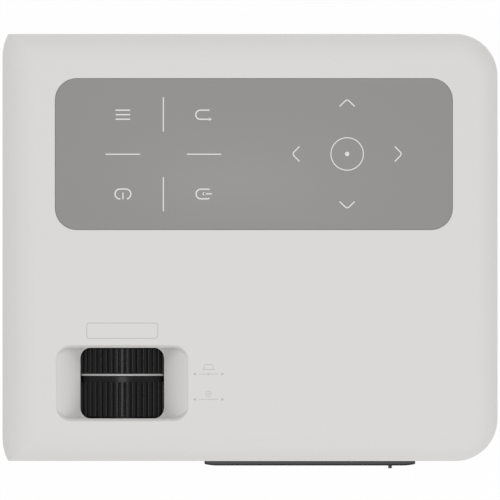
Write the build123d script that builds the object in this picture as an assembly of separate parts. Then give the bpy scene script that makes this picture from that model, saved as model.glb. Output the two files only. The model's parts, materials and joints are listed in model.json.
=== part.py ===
"""Compact LCD projector with a slim disc drive in its front, as separate pieces. Millimetres, +Z up.

The lens and the disc tray face -Y. The origin is the centre of the whole object's footprint, on the
surface that the feet stand on.
"""
from build123d import *
import os
from math import cos, pi, radians, sin, sqrt, tan

# ---------------------------------------------------------------- driving dimensions
CASE_WIDTH = 300.0
CASE_DEPTH = 258.8
CASE_HEIGHT = 96.0
FOOT_HEIGHT = 8.0
WALL = 2.5
SEAM_RISE = 12.0             # from the underside of the case to the line between cover and housing

# rounding of the top edge: how far it reaches inwards on each side, and how far down
EDGE_LEFT = 20.0
EDGE_FRONT = 17.0
EDGE_REAR = 16.0
EDGE_RIGHT = 11.5
EDGE_DROP = 15.0
EDGE_BOTTOM = 5.0
CORNER_RIGHT = 25.5          # plan radius of the two right-hand corners
CORNER_LEFT = 30.0           # the left side curls in on this radius
CORNER_LEFT_RUN = 14.0       # over this length, and ends in an edge
CORNER_LEFT_EDGE = 1.5       # softening radius of that edge

# touch control panel, set flush in the top
PANEL_WIDTH = 240.7
PANEL_DEPTH = 91.8
PANEL_X = 2.35
PANEL_FROM_REAR = 27.0
PANEL_CORNER = 13.2
PANEL_THICK = 1.2

# lens, its two rings, and the scooped window in the top that shows them
LENS_X = -77.4
RING_RADIUS = 38.5
RING_BORE = 30.1
RING_BELOW_TOP = 3.0
RIDGE_COUNT = 69
RIDGE_DEPTH = 0.9
SCOOP_WIDTH = 80.6
SCOOP_CORNER = 7.5
SCOOP_DEEP = 13.0
SCOOP_WALL = 2.2
SCOOP_REACH = 2.0            # the scoop's rim leans out this far beyond its upright walls
SCOOP_LEAN = 55.0            # steepness of that leaning part, in degrees
SCOOP_ROUND = 0.8            # radius that rounds it over into the top
FLOOR_RADIUS = 82.0          # each floor of the scoop rolls down towards the window on this radius
FLOOR_SLOPE = 30.0           # its slope where it leaves the top, in degrees
WINDOW_WIDTH = 50.6
WINDOW_FRONT = 25.9          # distances behind the front of the case
WINDOW_REAR = 68.7
WINDOW_CORNER = 6.2
WEB_THICK = 0.8              # thickness of the webs that round the window's corners
RING_GAP = 0.5
FOCUS_FRONT = 26.8
FOCUS_RIDGE_END = 47.8
FOCUS_REAR = 51.45
TRIM_RING_FRONT = 51.65
TRIM_RING_REAR = 52.9
KEYSTONE_FRONT = 53.1
KEYSTONE_REAR = 68.2
BARREL_RADIUS = 25.5
PORT_RADIUS = 23.6
BARREL_FRONT = 14.0
BARREL_REAR = 70.0
FLANGE_HALF = 31.0           # half height of the lens tube's mounting flange

# light engine, in line behind the lens
ENGINE_HALF_WIDTH = 48.0
ENGINE_BELOW_AXIS = 34.0
ENGINE_ABOVE_AXIS = 31.5
ENGINE_FRONT = 76.0
ENGINE_REAR = 190.0
ENGINE_WALL = 2.5
LCD_PLACE = 128.0            # the panel's tilting axis, behind the front of the case

# slim disc drive
DRIVE_WIDTH = 128.0
DRIVE_X = 36.35
DRIVE_BOTTOM = 60.0
DRIVE_HEIGHT = 12.7
DRIVE_FRONT = 3.0
DRIVE_REAR = 129.0
BEZEL_PROUD = 3.0
BEZEL_END = 2.1              # it stands only this proud at its two ends,
BEZEL_RUN = 8.0              # and reaches its full depth within this length
BEZEL_CORNER = 0.7
BEZEL_BACK = 1.5
BUTTON_PROUD = 1.9
BUTTON_X = 85.1
BUTTON_RADIUS = 1.2
TRAY_HALF_WIDTH = 61.5
TRAY_REAR = 125.0
DISC_CENTRE = 63.2           # behind the front of the case
DISC_WELL_RADIUS = 60.6
SMALL_DISC_RADIUS = 40.6

# openings and fixings of the case
POST_X = 137.0
POST_RADIUS = 4.0
GRILLE_FRONT = 22.0
GRILLE_REAR = 118.0
GRILLE_LOW = 40.0
GRILLE_HIGH = 76.0
GRILLE_THICK = 2.0
GRILLE_SLOTS = 20
GRILLE_PITCH = 4.5
GRILLE_SLOT_HALF = 1.1
PLATE_LEFT = -24.0           # socket plate in the rear wall
PLATE_RIGHT = 126.0
PLATE_LOW = 21.0
PLATE_HIGH = 46.0
PLATE_THICK = 2.0
EXHAUST_SLOTS = 13
EXHAUST_LOW = 34.0
EXHAUST_HIGH = 80.0
INTAKE_SLOTS = 12
INTAKE_FRONT = 104.0
INTAKE_REAR = 150.0
SLOT_PITCH = 6.0
SLOT_RADIUS = 1.5
IR_X = -40.0
IR_RADIUS = 4.0
CABLE_X = 72.0               # the touch board's cable passes the top here
CABLE_FROM_REAR = 57.0
FIT = 0.15                   # gap all round between a let-in plate and its seat

# electronics and feet
BOARD_Z = 24.0
BOARD_THICK = 1.6
HDMI_PLACES = (-8.0, 12.0)
HDMI_SIZE = (15.2, 6.4, 14.0)
USB_PLACES = (31.0, 49.0)
USB_SIZE = (14.4, 7.4, 15.0)
JACK_PLACES = (62.0, 72.0)
JACK_HEIGHT = 8.0
INLET_X = 107.0
INLET_SIZE = (24.0, 15.0, 17.0)
FOOT_RADIUS = 9.0
MOUNT_SPACING_X = 140.0
MOUNT_SPACING_Y = 100.0
MOUNT_THREAD_RADIUS = 2.0
TRIPOD_THREAD_RADIUS = 3.175

# ---------------------------------------------------------------- worked out from them
PROUD = BEZEL_PROUD + BUTTON_PROUD
FRONT = -(CASE_DEPTH + PROUD) / 2 + PROUD
REAR = FRONT + CASE_DEPTH
BASE = FOOT_HEIGHT
TOP = BASE + CASE_HEIGHT
SEAM = BASE + SEAM_RISE
FLOOR = BASE + WALL
CEILING = TOP - WALL
HALF = CASE_WIDTH / 2
LENS_Z = TOP - RING_BELOW_TOP - RING_RADIUS
ENGINE_BOTTOM = LENS_Z - ENGINE_BELOW_AXIS
ENGINE_TOP = LENS_Z + ENGINE_ABOVE_AXIS
BOARD_TOP = BOARD_Z + BOARD_THICK
WELL_FLOOR = DRIVE_BOTTOM + 8.4
BUTTON_Z = DRIVE_BOTTOM + 6.4
SOCKET_FACE = REAR - 0.4
SOCKET_HOLES = [(x, HDMI_SIZE[0], HDMI_SIZE[1]) for x in HDMI_PLACES]
SOCKET_HOLES += [(x, USB_SIZE[0], USB_SIZE[1]) for x in USB_PLACES]
SOCKET_HOLES += [(INLET_X, INLET_SIZE[0], INLET_SIZE[1])]


def behind(distance):
    """Y of a place this far behind the front of the case."""
    return FRONT + distance


# ---------------------------------------------------------------- small shape helpers
def block(x0, x1, y0, y1, z0, z1):
    """Rectangular block between two corners."""
    return Pos((x0 + x1) / 2, (y0 + y1) / 2, (z0 + z1) / 2) * Box(x1 - x0, y1 - y0, z1 - z0)


def soft_block(x0, x1, y0, y1, z0, z1, radius):
    """Block with rounded upright edges."""
    plan = Pos((x0 + x1) / 2, (y0 + y1) / 2, z0) * RectangleRounded(x1 - x0, y1 - y0, radius)
    return extrude(plan, z1 - z0)


def rod_x(x0, x1, y, z, radius):
    return Pos((x0 + x1) / 2, y, z) * Rot(0, 90, 0) * Cylinder(radius, x1 - x0)


def rod_y(x, y0, y1, z, radius):
    return Pos(x, (y0 + y1) / 2, z) * Rot(90, 0, 0) * Cylinder(radius, y1 - y0)


def rod_z(x, y, z0, z1, radius):
    return Pos(x, y, (z0 + z1) / 2) * Cylinder(radius, z1 - z0)


def sleeve_y(x, y0, y1, z, outer, inner):
    return rod_y(x, y0, y1, z, outer) - rod_y(x, y0 - 1, y1 + 1, z, inner)


def screw(x, y, seat, shank_radius, shank_length, head_radius, head_height, points=-1):
    """Pan-head screw on Z with a cross recess; points = -1 points down, +1 points up."""
    head = rod_z(x, y, 0, head_height, head_radius)
    recess = block(x - 1.3, x + 1.3, y - 0.3, y + 0.3, head_height - 0.8, head_height + 1)
    recess += block(x - 0.3, x + 0.3, y - 1.3, y + 1.3, head_height - 0.8, head_height + 1)
    whole = head + rod_z(x, y, -shank_length, 0.2, shank_radius) - recess
    if points > 0:
        whole = Pos(x, y, 0) * Rot(180, 0, 0) * Pos(-x, -y, 0) * whole
    return Pos(0, 0, seat) * whole


def group(shapes):
    """Separate solids of one kind, kept in one node."""
    return Compound(children=[solid for shape in shapes for solid in shape.solids()])


# ---------------------------------------------------------------- casing
def case_outline(left, front, rear, right, z):
    """Plan outline of the case, drawn in by its own amount on each side."""
    x0 = -HALF + left
    x1 = HALF - right
    y0 = FRONT + front
    y1 = REAR - rear
    curl = CORNER_LEFT - sqrt(CORNER_LEFT**2 - CORNER_LEFT_RUN**2)
    r_front = CORNER_RIGHT - (front + right) / 2
    r_rear = CORNER_RIGHT - (rear + right) / 2
    edges = [
        Line((x0, y0 + CORNER_LEFT_RUN), (x0, y1 - CORNER_LEFT_RUN)),
        RadiusArc((x0, y1 - CORNER_LEFT_RUN), (x0 + curl, y1), CORNER_LEFT),
        Line((x0 + curl, y1), (x1 - r_rear, y1)),
        RadiusArc((x1 - r_rear, y1), (x1, y1 - r_rear), r_rear),
        Line((x1, y1 - r_rear), (x1, y0 + r_front)),
        RadiusArc((x1, y0 + r_front), (x1 - r_front, y0), r_front),
        Line((x1 - r_front, y0), (x0 + curl, y0)),
        RadiusArc((x0 + curl, y0), (x0, y0 + CORNER_LEFT_RUN), CORNER_LEFT),
    ]
    face = make_face(edges)
    left_corners = [v for v in face.vertices() if abs(v.X - x0 - curl) < 1e-6]
    return Pos(0, 0, z) * fillet(left_corners, CORNER_LEFT_EDGE)


def case_upper(inset):
    """Solid inside the cover's surface (inset 0) or inside its wall (inset = wall)."""
    high = TOP - inset
    sections = []
    for step in range(7):
        turn = radians(90 * step / 6)
        share = 1 - cos(turn)
        sides = [inset + (edge - inset) * share for edge in (EDGE_LEFT, EDGE_FRONT, EDGE_REAR, EDGE_RIGHT)]
        sections.append(case_outline(*sides, high - EDGE_DROP * (1 - sin(turn))))
    straight = extrude(case_outline(inset, inset, inset, inset, SEAM), high - EDGE_DROP - SEAM)
    return straight + loft(sections)


def case_lower(inset):
    """Solid inside the housing's surface or inside its wall, up to the seam."""
    low = BASE + inset
    reach = EDGE_BOTTOM - inset
    sections = []
    for step in range(5):
        turn = radians(90 * step / 4)
        side = inset + reach * (1 - sin(turn))
        sections.append(case_outline(side, side, side, side, low + reach * (1 - cos(turn))))
    straight = extrude(case_outline(inset, inset, inset, inset, BASE + EDGE_BOTTOM), SEAM - BASE - EDGE_BOTTOM)
    return straight + loft(sections)


CASE_POSTS = [(-POST_X, behind(y)) for y in (22.0, 168.0, 236.0)]
CASE_POSTS += [(POST_X, behind(y)) for y in (22.0, 132.0, 236.0)]


def scoop_plan(grow, z):
    """Rounded plan of the scoop, larger by grow all round."""
    width = SCOOP_WIDTH - 2 * SCOOP_REACH + 2 * grow
    depth = WINDOW_REAR - WINDOW_FRONT + 2 * grow
    outline = RectangleRounded(width, depth, SCOOP_CORNER + grow)
    return Pos(LENS_X, behind((WINDOW_FRONT + WINDOW_REAR) / 2), z) * outline


def scoop_floors(thinner):
    """The two convex floors, one on each side of the rings; thinner gives their undersides."""
    out = SCOOP_WIDTH / 2 + FLOOR_RADIUS * sin(radians(FLOOR_SLOPE))
    low = TOP - FLOOR_RADIUS * cos(radians(FLOOR_SLOPE))
    radius = FLOOR_RADIUS - thinner
    floors = [rod_y(LENS_X + side * out, behind(10), behind(90), low, radius) for side in (-1, 1)]
    return floors[0] + floors[1]


def scoop_cut():
    """Space of the scoop: a rounded rim that leans in, upright walls, and two floors that roll down."""
    sections = []
    for step in range(5):
        turn = radians(SCOOP_LEAN) * step / 4
        height = TOP - SCOOP_ROUND * (1 - cos(turn))
        reach = SCOOP_REACH - SCOOP_ROUND * sin(turn)
        sections.append(scoop_plan(reach, height))
    wall_top = height - reach * tan(radians(SCOOP_LEAN))
    leaning = loft([scoop_plan(reach, height), scoop_plan(0, wall_top)])
    upright = extrude(scoop_plan(0, TOP - SCOOP_DEEP), wall_top - TOP + SCOOP_DEEP)
    above = extrude(scoop_plan(SCOOP_REACH, TOP), 2)
    return upright + leaning + loft(sections) + above - scoop_floors(0)


def scoop_backing():
    """Material left under and round the scoop."""
    low = TOP - SCOOP_DEEP
    return extrude(scoop_plan(SCOOP_REACH + SCOOP_WALL, low), CEILING + 1 - low) - scoop_floors(SCOOP_WALL)


def ring_window(margin, corner):
    """Upright block over the rings, wider than the window by a margin."""
    return soft_block(
        LENS_X - WINDOW_WIDTH / 2 - margin,
        LENS_X + WINDOW_WIDTH / 2 + margin,
        behind(WINDOW_FRONT) - margin,
        behind(WINDOW_REAR) + margin,
        TOP - 20,
        TOP + 1,
        corner,
    )


def window_webs():
    """Rounded corners of the window, which follow the rings just above them."""
    inner = RING_RADIUS + RING_GAP
    front, rear = behind(WINDOW_FRONT - 1), behind(WINDOW_REAR + 1)
    arch = sleeve_y(LENS_X, front, rear, LENS_Z, inner + WEB_THICK, inner)
    webs = (ring_window(0.4, 0.5) - ring_window(0, WINDOW_CORNER)) & arch
    across = WINDOW_WIDTH / 2 - WINDOW_CORNER
    webs -= block(LENS_X - across, LENS_X + across, front, rear, TOP - 20, TOP + 1)
    front, rear = behind(WINDOW_FRONT + WINDOW_CORNER), behind(WINDOW_REAR - WINDOW_CORNER)
    return webs - block(LENS_X - WINDOW_WIDTH, LENS_X + WINDOW_WIDTH, front, rear, TOP - 20, TOP + 1)


def top_cover():
    """Upper shell with the panel pocket, ring window, lens port, tray slot, vents and screw posts."""
    outer = case_upper(0)
    cover = outer - case_upper(WALL)
    for x, y in CASE_POSTS:
        cover += rod_z(x, y, SEAM, TOP, POST_RADIUS) & outer
    cover += scoop_backing()
    cover -= scoop_cut()
    cover -= block(
        LENS_X - WINDOW_WIDTH / 2, LENS_X + WINDOW_WIDTH / 2, behind(WINDOW_FRONT - 4), behind(WINDOW_REAR + 4),
        TOP - 20, LENS_Z + RING_BORE + 0.4,
    )
    cover -= rod_y(LENS_X, behind(WINDOW_FRONT), behind(WINDOW_REAR), LENS_Z, RING_RADIUS + RING_GAP)
    cover -= block(
        LENS_X - 45, LENS_X + 45, behind(ENGINE_FRONT - 3.5), behind(ENGINE_FRONT), SEAM, LENS_Z + FLANGE_HALF + 0.5
    )
    cover -= ring_window(0, WINDOW_CORNER)
    cover += window_webs()
    cover -= panel_plan(TOP - PANEL_THICK, TOP + 1, 0.0)
    cover -= soft_block(
        CABLE_X - 12, CABLE_X + 12, REAR - CABLE_FROM_REAR - 3, REAR - CABLE_FROM_REAR + 3, CEILING - 1, TOP, 2
    )
    cover -= rod_y(LENS_X, FRONT - 1, behind(WALL + 1), LENS_Z, PORT_RADIUS)
    cover -= rod_y(IR_X, FRONT - 1, behind(WALL + 1), LENS_Z, IR_RADIUS)
    gap = 0.4
    cover -= block(
        DRIVE_X - DRIVE_WIDTH / 2 - gap,
        DRIVE_X + DRIVE_WIDTH / 2 + gap,
        FRONT - 1,
        behind(WALL + 0.4),
        DRIVE_BOTTOM - gap,
        DRIVE_BOTTOM + DRIVE_HEIGHT + gap,
    )
    for side in (-1, 1):
        outer_face = side * (HALF + 1)
        ledge = side * (HALF - GRILLE_THICK)
        inner_face = side * (HALF - WALL - 1)
        x0, x1 = sorted((outer_face, ledge))
        cover -= block(x0, x1, behind(GRILLE_FRONT), behind(GRILLE_REAR), GRILLE_LOW, GRILLE_HIGH)
        x0, x1 = sorted((outer_face, inner_face))
        cover -= block(
            x0, x1, behind(GRILLE_FRONT + 2), behind(GRILLE_REAR - 2), GRILLE_LOW + 2, GRILLE_HIGH - 2
        )
    cover -= block(PLATE_LEFT, PLATE_RIGHT, REAR - PLATE_THICK, REAR + 1, PLATE_LOW, PLATE_HIGH)
    cover -= block(PLATE_LEFT + 2, PLATE_RIGHT - 2, REAR - WALL - 1, REAR + 1, PLATE_LOW + 2, PLATE_HIGH - 2)
    for index in range(EXHAUST_SLOTS):
        x = LENS_X + (index - (EXHAUST_SLOTS - 1) / 2) * SLOT_PITCH
        cover -= soft_slot_y(x, REAR - WALL - 1, REAR + 1, EXHAUST_LOW, EXHAUST_HIGH, SLOT_RADIUS)
    for x, y in CASE_POSTS:
        cover -= rod_z(x, y, SEAM - 1, SEAM + 14, 1.5)
    return cover


def soft_slot_y(x, y0, y1, z0, z1, radius):
    """Upright slot with round ends, cut along Y."""
    slot = block(x - radius, x + radius, y0, y1, z0 + radius, z1 - radius)
    slot += rod_y(x, y0, y1, z0 + radius, radius)
    slot += rod_y(x, y0, y1, z1 - radius, radius)
    return slot


def panel_plan(z0, z1, margin):
    return soft_block(
        PANEL_X - PANEL_WIDTH / 2 + margin,
        PANEL_X + PANEL_WIDTH / 2 - margin,
        REAR - PANEL_FROM_REAR - PANEL_DEPTH + margin,
        REAR - PANEL_FROM_REAR - margin,
        z0,
        z1,
        PANEL_CORNER - margin,
    )


ENGINE_POSTS = [(x, behind(y)) for x in (LENS_X - 52.0, LENS_X + 52.0) for y in (86.0, 182.0)]
BRACKET_POSTS = [(x, behind(y)) for x in (-14.0, 88.0) for y in (14.0, 116.0)]
BRACKET_LOW = DRIVE_BOTTOM - 3.2
BRACKET_TOP = DRIVE_BOTTOM - 2.0
MAIN_BOARD = (-21.0, 78.0, 150.0, 250.0)
POWER_BOARD = (84.0, 130.0, 150.0, 244.0)
BOARD_INSET = 5.0


def board_corners(board):
    x0, x1, y0, y1 = board
    return [(x, behind(y)) for x in (x0 + BOARD_INSET, x1 - BOARD_INSET) for y in (y0 + BOARD_INSET, y1 - 28)]


BOARD_POSTS = board_corners(MAIN_BOARD) + board_corners(POWER_BOARD)
MOUNT_CENTRE_Y = 0.0
MOUNT_POINTS = [
    (x, MOUNT_CENTRE_Y + y)
    for x in (-MOUNT_SPACING_X / 2, MOUNT_SPACING_X / 2)
    for y in (-MOUNT_SPACING_Y / 2, MOUNT_SPACING_Y / 2)
]
INSERT_RADIUS = 3.2
INSERT_LENGTH = 8.0
TRIPOD_Y = MOUNT_CENTRE_Y - 20.0
FOOT_SCREW_Y = behind(24.0)
FOOT_SCREW_RADIUS = 4.0
FEET = [(-118.0, behind(30)), (118.0, behind(30)), (-118.0, behind(226)), (118.0, behind(226))]


def bottom_housing():
    """Lower shell with its lip, posts, threaded-insert bosses and air slots."""
    housing = case_lower(0) - case_lower(WALL)
    inside = case_outline(3.9, 3.9, 3.9, 3.9, SEAM - 6)
    lip = extrude(case_outline(2.4, 2.4, 2.4, 2.4, SEAM - 6), 6) - extrude(inside, 6)
    tongue = extrude(case_outline(2.7, 2.7, 2.7, 2.7, SEAM), 3.5)
    tongue -= extrude(case_outline(3.9, 3.9, 3.9, 3.9, SEAM), 3.5)
    housing += lip
    housing += tongue - block(PLATE_LEFT, PLATE_RIGHT, REAR - 6, REAR, SEAM, SEAM + 4)
    for x, y in CASE_POSTS:
        housing += rod_z(x, y, BASE, SEAM, POST_RADIUS + 1)
        housing -= rod_z(x, y, SEAM, SEAM + 4, POST_RADIUS + 0.3)
    for x, y in ENGINE_POSTS:
        housing += rod_z(x, y, BASE + 1, ENGINE_BOTTOM, 3.5)
    for x, y in BRACKET_POSTS:
        housing += rod_z(x, y, BASE + 1, BRACKET_LOW, 4.0)
    for x, y in BOARD_POSTS:
        housing += rod_z(x, y, BASE + 1, BOARD_Z, 3.0)
    for x, y in MOUNT_POINTS:
        housing += rod_z(x, y, BASE, BASE + INSERT_LENGTH + 2, INSERT_RADIUS + 2)
    housing += rod_z(0, TRIPOD_Y, BASE, BASE + INSERT_LENGTH + 3, 8.0)
    housing += rod_z(0, FOOT_SCREW_Y, BASE, BASE + 24, 8.0)
    for x, y in CASE_POSTS:
        housing -= rod_z(x, y, BASE - 1, BASE + 7, 3.4)
        housing -= rod_z(x, y, BASE - 1, SEAM + 1, 1.7)
    for x, y in ENGINE_POSTS:
        housing -= rod_z(x, y, ENGINE_BOTTOM - 9, ENGINE_BOTTOM + 1, 1.2)
    for x, y in BRACKET_POSTS:
        housing -= rod_z(x, y, BRACKET_LOW - 9, BRACKET_LOW + 1, 1.2)
    for x, y in BOARD_POSTS:
        housing -= rod_z(x, y, BOARD_Z - 8, BOARD_Z + 1, 1.2)
    for x, y in MOUNT_POINTS:
        housing -= rod_z(x, y, BASE - 1, BASE + INSERT_LENGTH, INSERT_RADIUS)
    housing -= rod_z(0, TRIPOD_Y, BASE - 1, BASE + INSERT_LENGTH, 6.0)
    housing -= rod_z(0, FOOT_SCREW_Y, BASE - 1, BASE + 25, FOOT_SCREW_RADIUS + 0.05)
    for index in range(INTAKE_SLOTS):
        x = LENS_X + (index - (INTAKE_SLOTS - 1) / 2) * SLOT_PITCH
        housing -= soft_block(
            x - SLOT_RADIUS, x + SLOT_RADIUS, behind(INTAKE_FRONT), behind(INTAKE_REAR), BASE - 1, FLOOR + 1,
            SLOT_RADIUS - 0.1,
        )
    for x, y in FEET:
        housing -= rod_z(x, y, BASE - 1, BASE + 1, FOOT_RADIUS + 0.2)
    return housing


def side_grille(side):
    """Slotted grille set flush in a side wall; side is -1 on the left and +1 on the right."""
    x0, x1 = sorted((side * (HALF - GRILLE_THICK), side * HALF))
    y0, y1 = behind(GRILLE_FRONT) + FIT, behind(GRILLE_REAR) - FIT
    grille = block(x0, x1, y0, y1, GRILLE_LOW + FIT, GRILLE_HIGH - FIT)
    for index in range(GRILLE_SLOTS):
        y = (y0 + y1) / 2 + (index - (GRILLE_SLOTS - 1) / 2) * GRILLE_PITCH
        grille -= block(
            x0 - 1, x1 + 1, y - GRILLE_SLOT_HALF, y + GRILLE_SLOT_HALF, GRILLE_LOW + 4, GRILLE_HIGH - 4
        )
    return grille


def lens_port():
    """Trim ring set in the front wall around the lens opening."""
    ring = sleeve_y(LENS_X, FRONT, behind(4.0), LENS_Z, PORT_RADIUS - 0.05, PORT_RADIUS - 3)
    return chamfer(ring.faces().sort_by(Axis.Y)[0].edges(), 0.8)


def ir_window():
    return rod_y(IR_X, FRONT, behind(4.0), LENS_Z, IR_RADIUS - 0.05)


def rear_plate():
    """Socket plate in the rear wall."""
    plate = block(
        PLATE_LEFT + FIT, PLATE_RIGHT - FIT, REAR - PLATE_THICK, REAR, PLATE_LOW + FIT, PLATE_HIGH - FIT
    )
    for x, width, height in SOCKET_HOLES:
        centre = BOARD_TOP + height / 2
        plate -= block(
            x - width / 2 - 0.3, x + width / 2 + 0.3, REAR - 3, REAR + 1,
            centre - height / 2 - 0.3, centre + height / 2 + 0.3,
        )
    for x in JACK_PLACES:
        plate -= rod_y(x, REAR - 3, REAR + 1, BOARD_TOP + JACK_HEIGHT / 2, 3.3)
    return plate


# ---------------------------------------------------------------- control panel
def control_panel():
    return panel_plan(TOP - PANEL_THICK, TOP, 0.12)


def touch_board():
    """Touch-sensing board fixed under the top, with its cable connector."""
    board = panel_plan(CEILING - 1.0, CEILING, 6.0)
    y = REAR - CABLE_FROM_REAR - 4
    return board + block(CABLE_X - 10, CABLE_X + 10, y - 3, y + 3, CEILING - 2.2, CEILING - 1.0)


# ---------------------------------------------------------------- lens and rings
def ridged_disc(front, rear):
    """Ridged band of a ring: trapezoid ridges all round, by formula."""
    points = []
    pitch = 2 * pi / RIDGE_COUNT
    for index in range(RIDGE_COUNT):
        start = index * pitch
        for share, radius in ((0.0, 0), (0.55, 0), (0.68, 1), (0.87, 1)):
            angle = start + share * pitch
            r = RING_RADIUS - radius * RIDGE_DEPTH
            points.append((r * sin(angle), r * cos(angle)))
    outline = make_face(Polyline(*points, close=True)) - Circle(RING_BORE)
    return Pos(LENS_X, rear, LENS_Z) * Rot(90, 0, 0) * extrude(outline, rear - front)


def focus_ring():
    ring = ridged_disc(behind(FOCUS_FRONT), behind(FOCUS_RIDGE_END))
    smooth = sleeve_y(
        LENS_X, behind(FOCUS_RIDGE_END), behind(FOCUS_REAR), LENS_Z, RING_RADIUS - RIDGE_DEPTH, RING_BORE
    )
    return ring + smooth


def keystone_ring():
    return ridged_disc(behind(KEYSTONE_FRONT), behind(KEYSTONE_REAR))


def ring_trim():
    return sleeve_y(
        LENS_X, behind(TRIM_RING_FRONT), behind(TRIM_RING_REAR), LENS_Z, RING_RADIUS - 0.3, RING_BORE
    )


def lens_tube():
    """Fixed tube that carries both rings and the barrel, with its mounting flange."""
    tube = sleeve_y(
        LENS_X, behind(FOCUS_FRONT + 0.4), behind(ENGINE_FRONT), LENS_Z, RING_BORE - 0.1, BARREL_RADIUS + 0.08
    )
    flange = block(
        LENS_X - 44,
        LENS_X + 44,
        behind(ENGINE_FRONT - 3),
        behind(ENGINE_FRONT),
        LENS_Z - FLANGE_HALF,
        LENS_Z + FLANGE_HALF,
    )
    flange -= rod_y(LENS_X, behind(70), behind(80), LENS_Z, BARREL_RADIUS + 0.08)
    return tube + flange


def lens_barrel():
    """Sliding barrel with a seat for each lens."""
    barrel = rod_y(LENS_X, behind(BARREL_FRONT), behind(BARREL_REAR), LENS_Z, BARREL_RADIUS)
    barrel -= rod_y(LENS_X, behind(BARREL_FRONT - 1), behind(28), LENS_Z, 22.6)
    barrel -= rod_y(LENS_X, behind(20), behind(60), LENS_Z, 20.6)
    barrel -= rod_y(LENS_X, behind(52), behind(BARREL_REAR + 1), LENS_Z, 22.0)
    return barrel


def lens_element(centre, radius, rim, front_bulge, rear_bulge):
    """Round lens on the axis; the bulges are its two crown heights."""
    body = rod_y(LENS_X, behind(centre - rim / 2), behind(centre + rim / 2), LENS_Z, radius)
    crown = radius - 2.2
    for bulge, direction in ((front_bulge, -1), (rear_bulge, 1)):
        sphere_radius = (crown**2 + bulge**2) / (2 * bulge)
        face = centre + direction * rim / 2
        ball = Pos(LENS_X, behind(face - direction * (sphere_radius - bulge)), LENS_Z) * Sphere(sphere_radius)
        y0, y1 = sorted((face - direction * rim / 4, face + direction * bulge * 1.2))
        body += ball & rod_y(LENS_X, behind(y0), behind(y1), LENS_Z, crown)
    return body


# ---------------------------------------------------------------- light engine
def engine_housing():
    """Open-topped light tunnel with lugs, pivot holes, a lens opening and a lamp opening."""
    x0, x1 = LENS_X - ENGINE_HALF_WIDTH, LENS_X + ENGINE_HALF_WIDTH
    housing = block(x0, x1, behind(ENGINE_FRONT), behind(ENGINE_REAR), ENGINE_BOTTOM, ENGINE_TOP)
    housing -= block(
        x0 + ENGINE_WALL, x1 - ENGINE_WALL, behind(ENGINE_FRONT + ENGINE_WALL),
        behind(ENGINE_REAR - ENGINE_WALL), ENGINE_BOTTOM + ENGINE_WALL, ENGINE_TOP + 1,
    )
    for x, y in ENGINE_POSTS:
        side = 1 if x > LENS_X else -1
        lug = sorted((x + 5 * side, LENS_X + 40 * side))
        housing += block(*lug, y - 5, y + 5, ENGINE_BOTTOM, ENGINE_BOTTOM + ENGINE_WALL)
        housing -= rod_z(x, y, ENGINE_BOTTOM - 1, ENGINE_BOTTOM + 4, 1.7)
    housing -= rod_y(LENS_X, behind(ENGINE_FRONT - 1), behind(ENGINE_FRONT + 4), LENS_Z, BARREL_RADIUS)
    housing -= block(LENS_X - 24, LENS_X + 24, behind(ENGINE_REAR - 4), behind(ENGINE_REAR + 1),
                     LENS_Z - 24, LENS_Z + 24)
    housing -= rod_x(x0 - 1, x1 + 1, behind(LCD_PLACE), LENS_Z, 2.05)
    housing -= block(x0 - 1, x0 + 4, behind(LCD_PLACE - 15), behind(LCD_PLACE + 15), LENS_Z - 26, LENS_Z - 6)
    return housing


def engine_lid():
    return block(
        LENS_X - ENGINE_HALF_WIDTH, LENS_X + ENGINE_HALF_WIDTH,
        behind(ENGINE_FRONT), behind(ENGINE_REAR), ENGINE_TOP, ENGINE_TOP + 1.6,
    )


def optic_plate(place, thick, half_height=30.0):
    """Upright glass or plastic sheet standing on the floor of the light tunnel."""
    low = ENGINE_BOTTOM + ENGINE_WALL
    return block(
        LENS_X - ENGINE_HALF_WIDTH + ENGINE_WALL + 0.1, LENS_X + ENGINE_HALF_WIDTH - ENGINE_WALL - 0.1,
        behind(place), behind(place + thick), low, low + 2 * half_height,
    )


def fresnel_front():
    sheet = optic_plate(116.0, 2.0)
    for index in range(6):
        radius = 27.0 - 4 * index
        groove = sleeve_y(LENS_X, behind(115.7), behind(116.4), LENS_Z, radius, radius - 1.2)
        sheet -= groove
    return sheet


def fresnel_rear():
    return optic_plate(146.0, 2.0)


def polariser_glass():
    return optic_plate(141.0, 1.4)


def lcd_frame():
    """Tilting frame of the picture panel, with a pivot pin at each side."""
    y = behind(LCD_PLACE)
    frame = block(LENS_X - 44, LENS_X + 44, y - 3, y + 3, LENS_Z - 28, LENS_Z + 28)
    frame -= block(LENS_X - 39, LENS_X + 39, y - 4, y + 4, LENS_Z - 23, LENS_Z + 23)
    frame -= block(LENS_X - 41, LENS_X + 41, y - 1, y + 1, LENS_Z - 25, LENS_Z + 25)
    frame += rod_x(LENS_X - 47.5, LENS_X - 43, y, LENS_Z, 2.0)
    frame += rod_x(LENS_X + 43, LENS_X + 47.5, y, LENS_Z, 2.0)
    return frame


def lcd_panel():
    y = behind(LCD_PLACE)
    return block(LENS_X - 41, LENS_X + 41, y - 1, y + 1, LENS_Z - 25, LENS_Z + 25)


def reflector():
    """Square horn that spreads the lamp's light over the panel."""
    wide = Pos(LENS_X, behind(148.0), LENS_Z) * Rot(90, 0, 0) * Rectangle(86, 54)
    narrow = Pos(LENS_X, behind(188.0), LENS_Z) * Rot(90, 0, 0) * Rectangle(34, 34)
    inner_wide = Pos(LENS_X, behind(148.0), LENS_Z) * Rot(90, 0, 0) * Rectangle(83, 51)
    inner_narrow = Pos(LENS_X, behind(188.0), LENS_Z) * Rot(90, 0, 0) * Rectangle(31, 31)
    return loft([wide, narrow]) - loft([inner_wide, inner_narrow])


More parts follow.
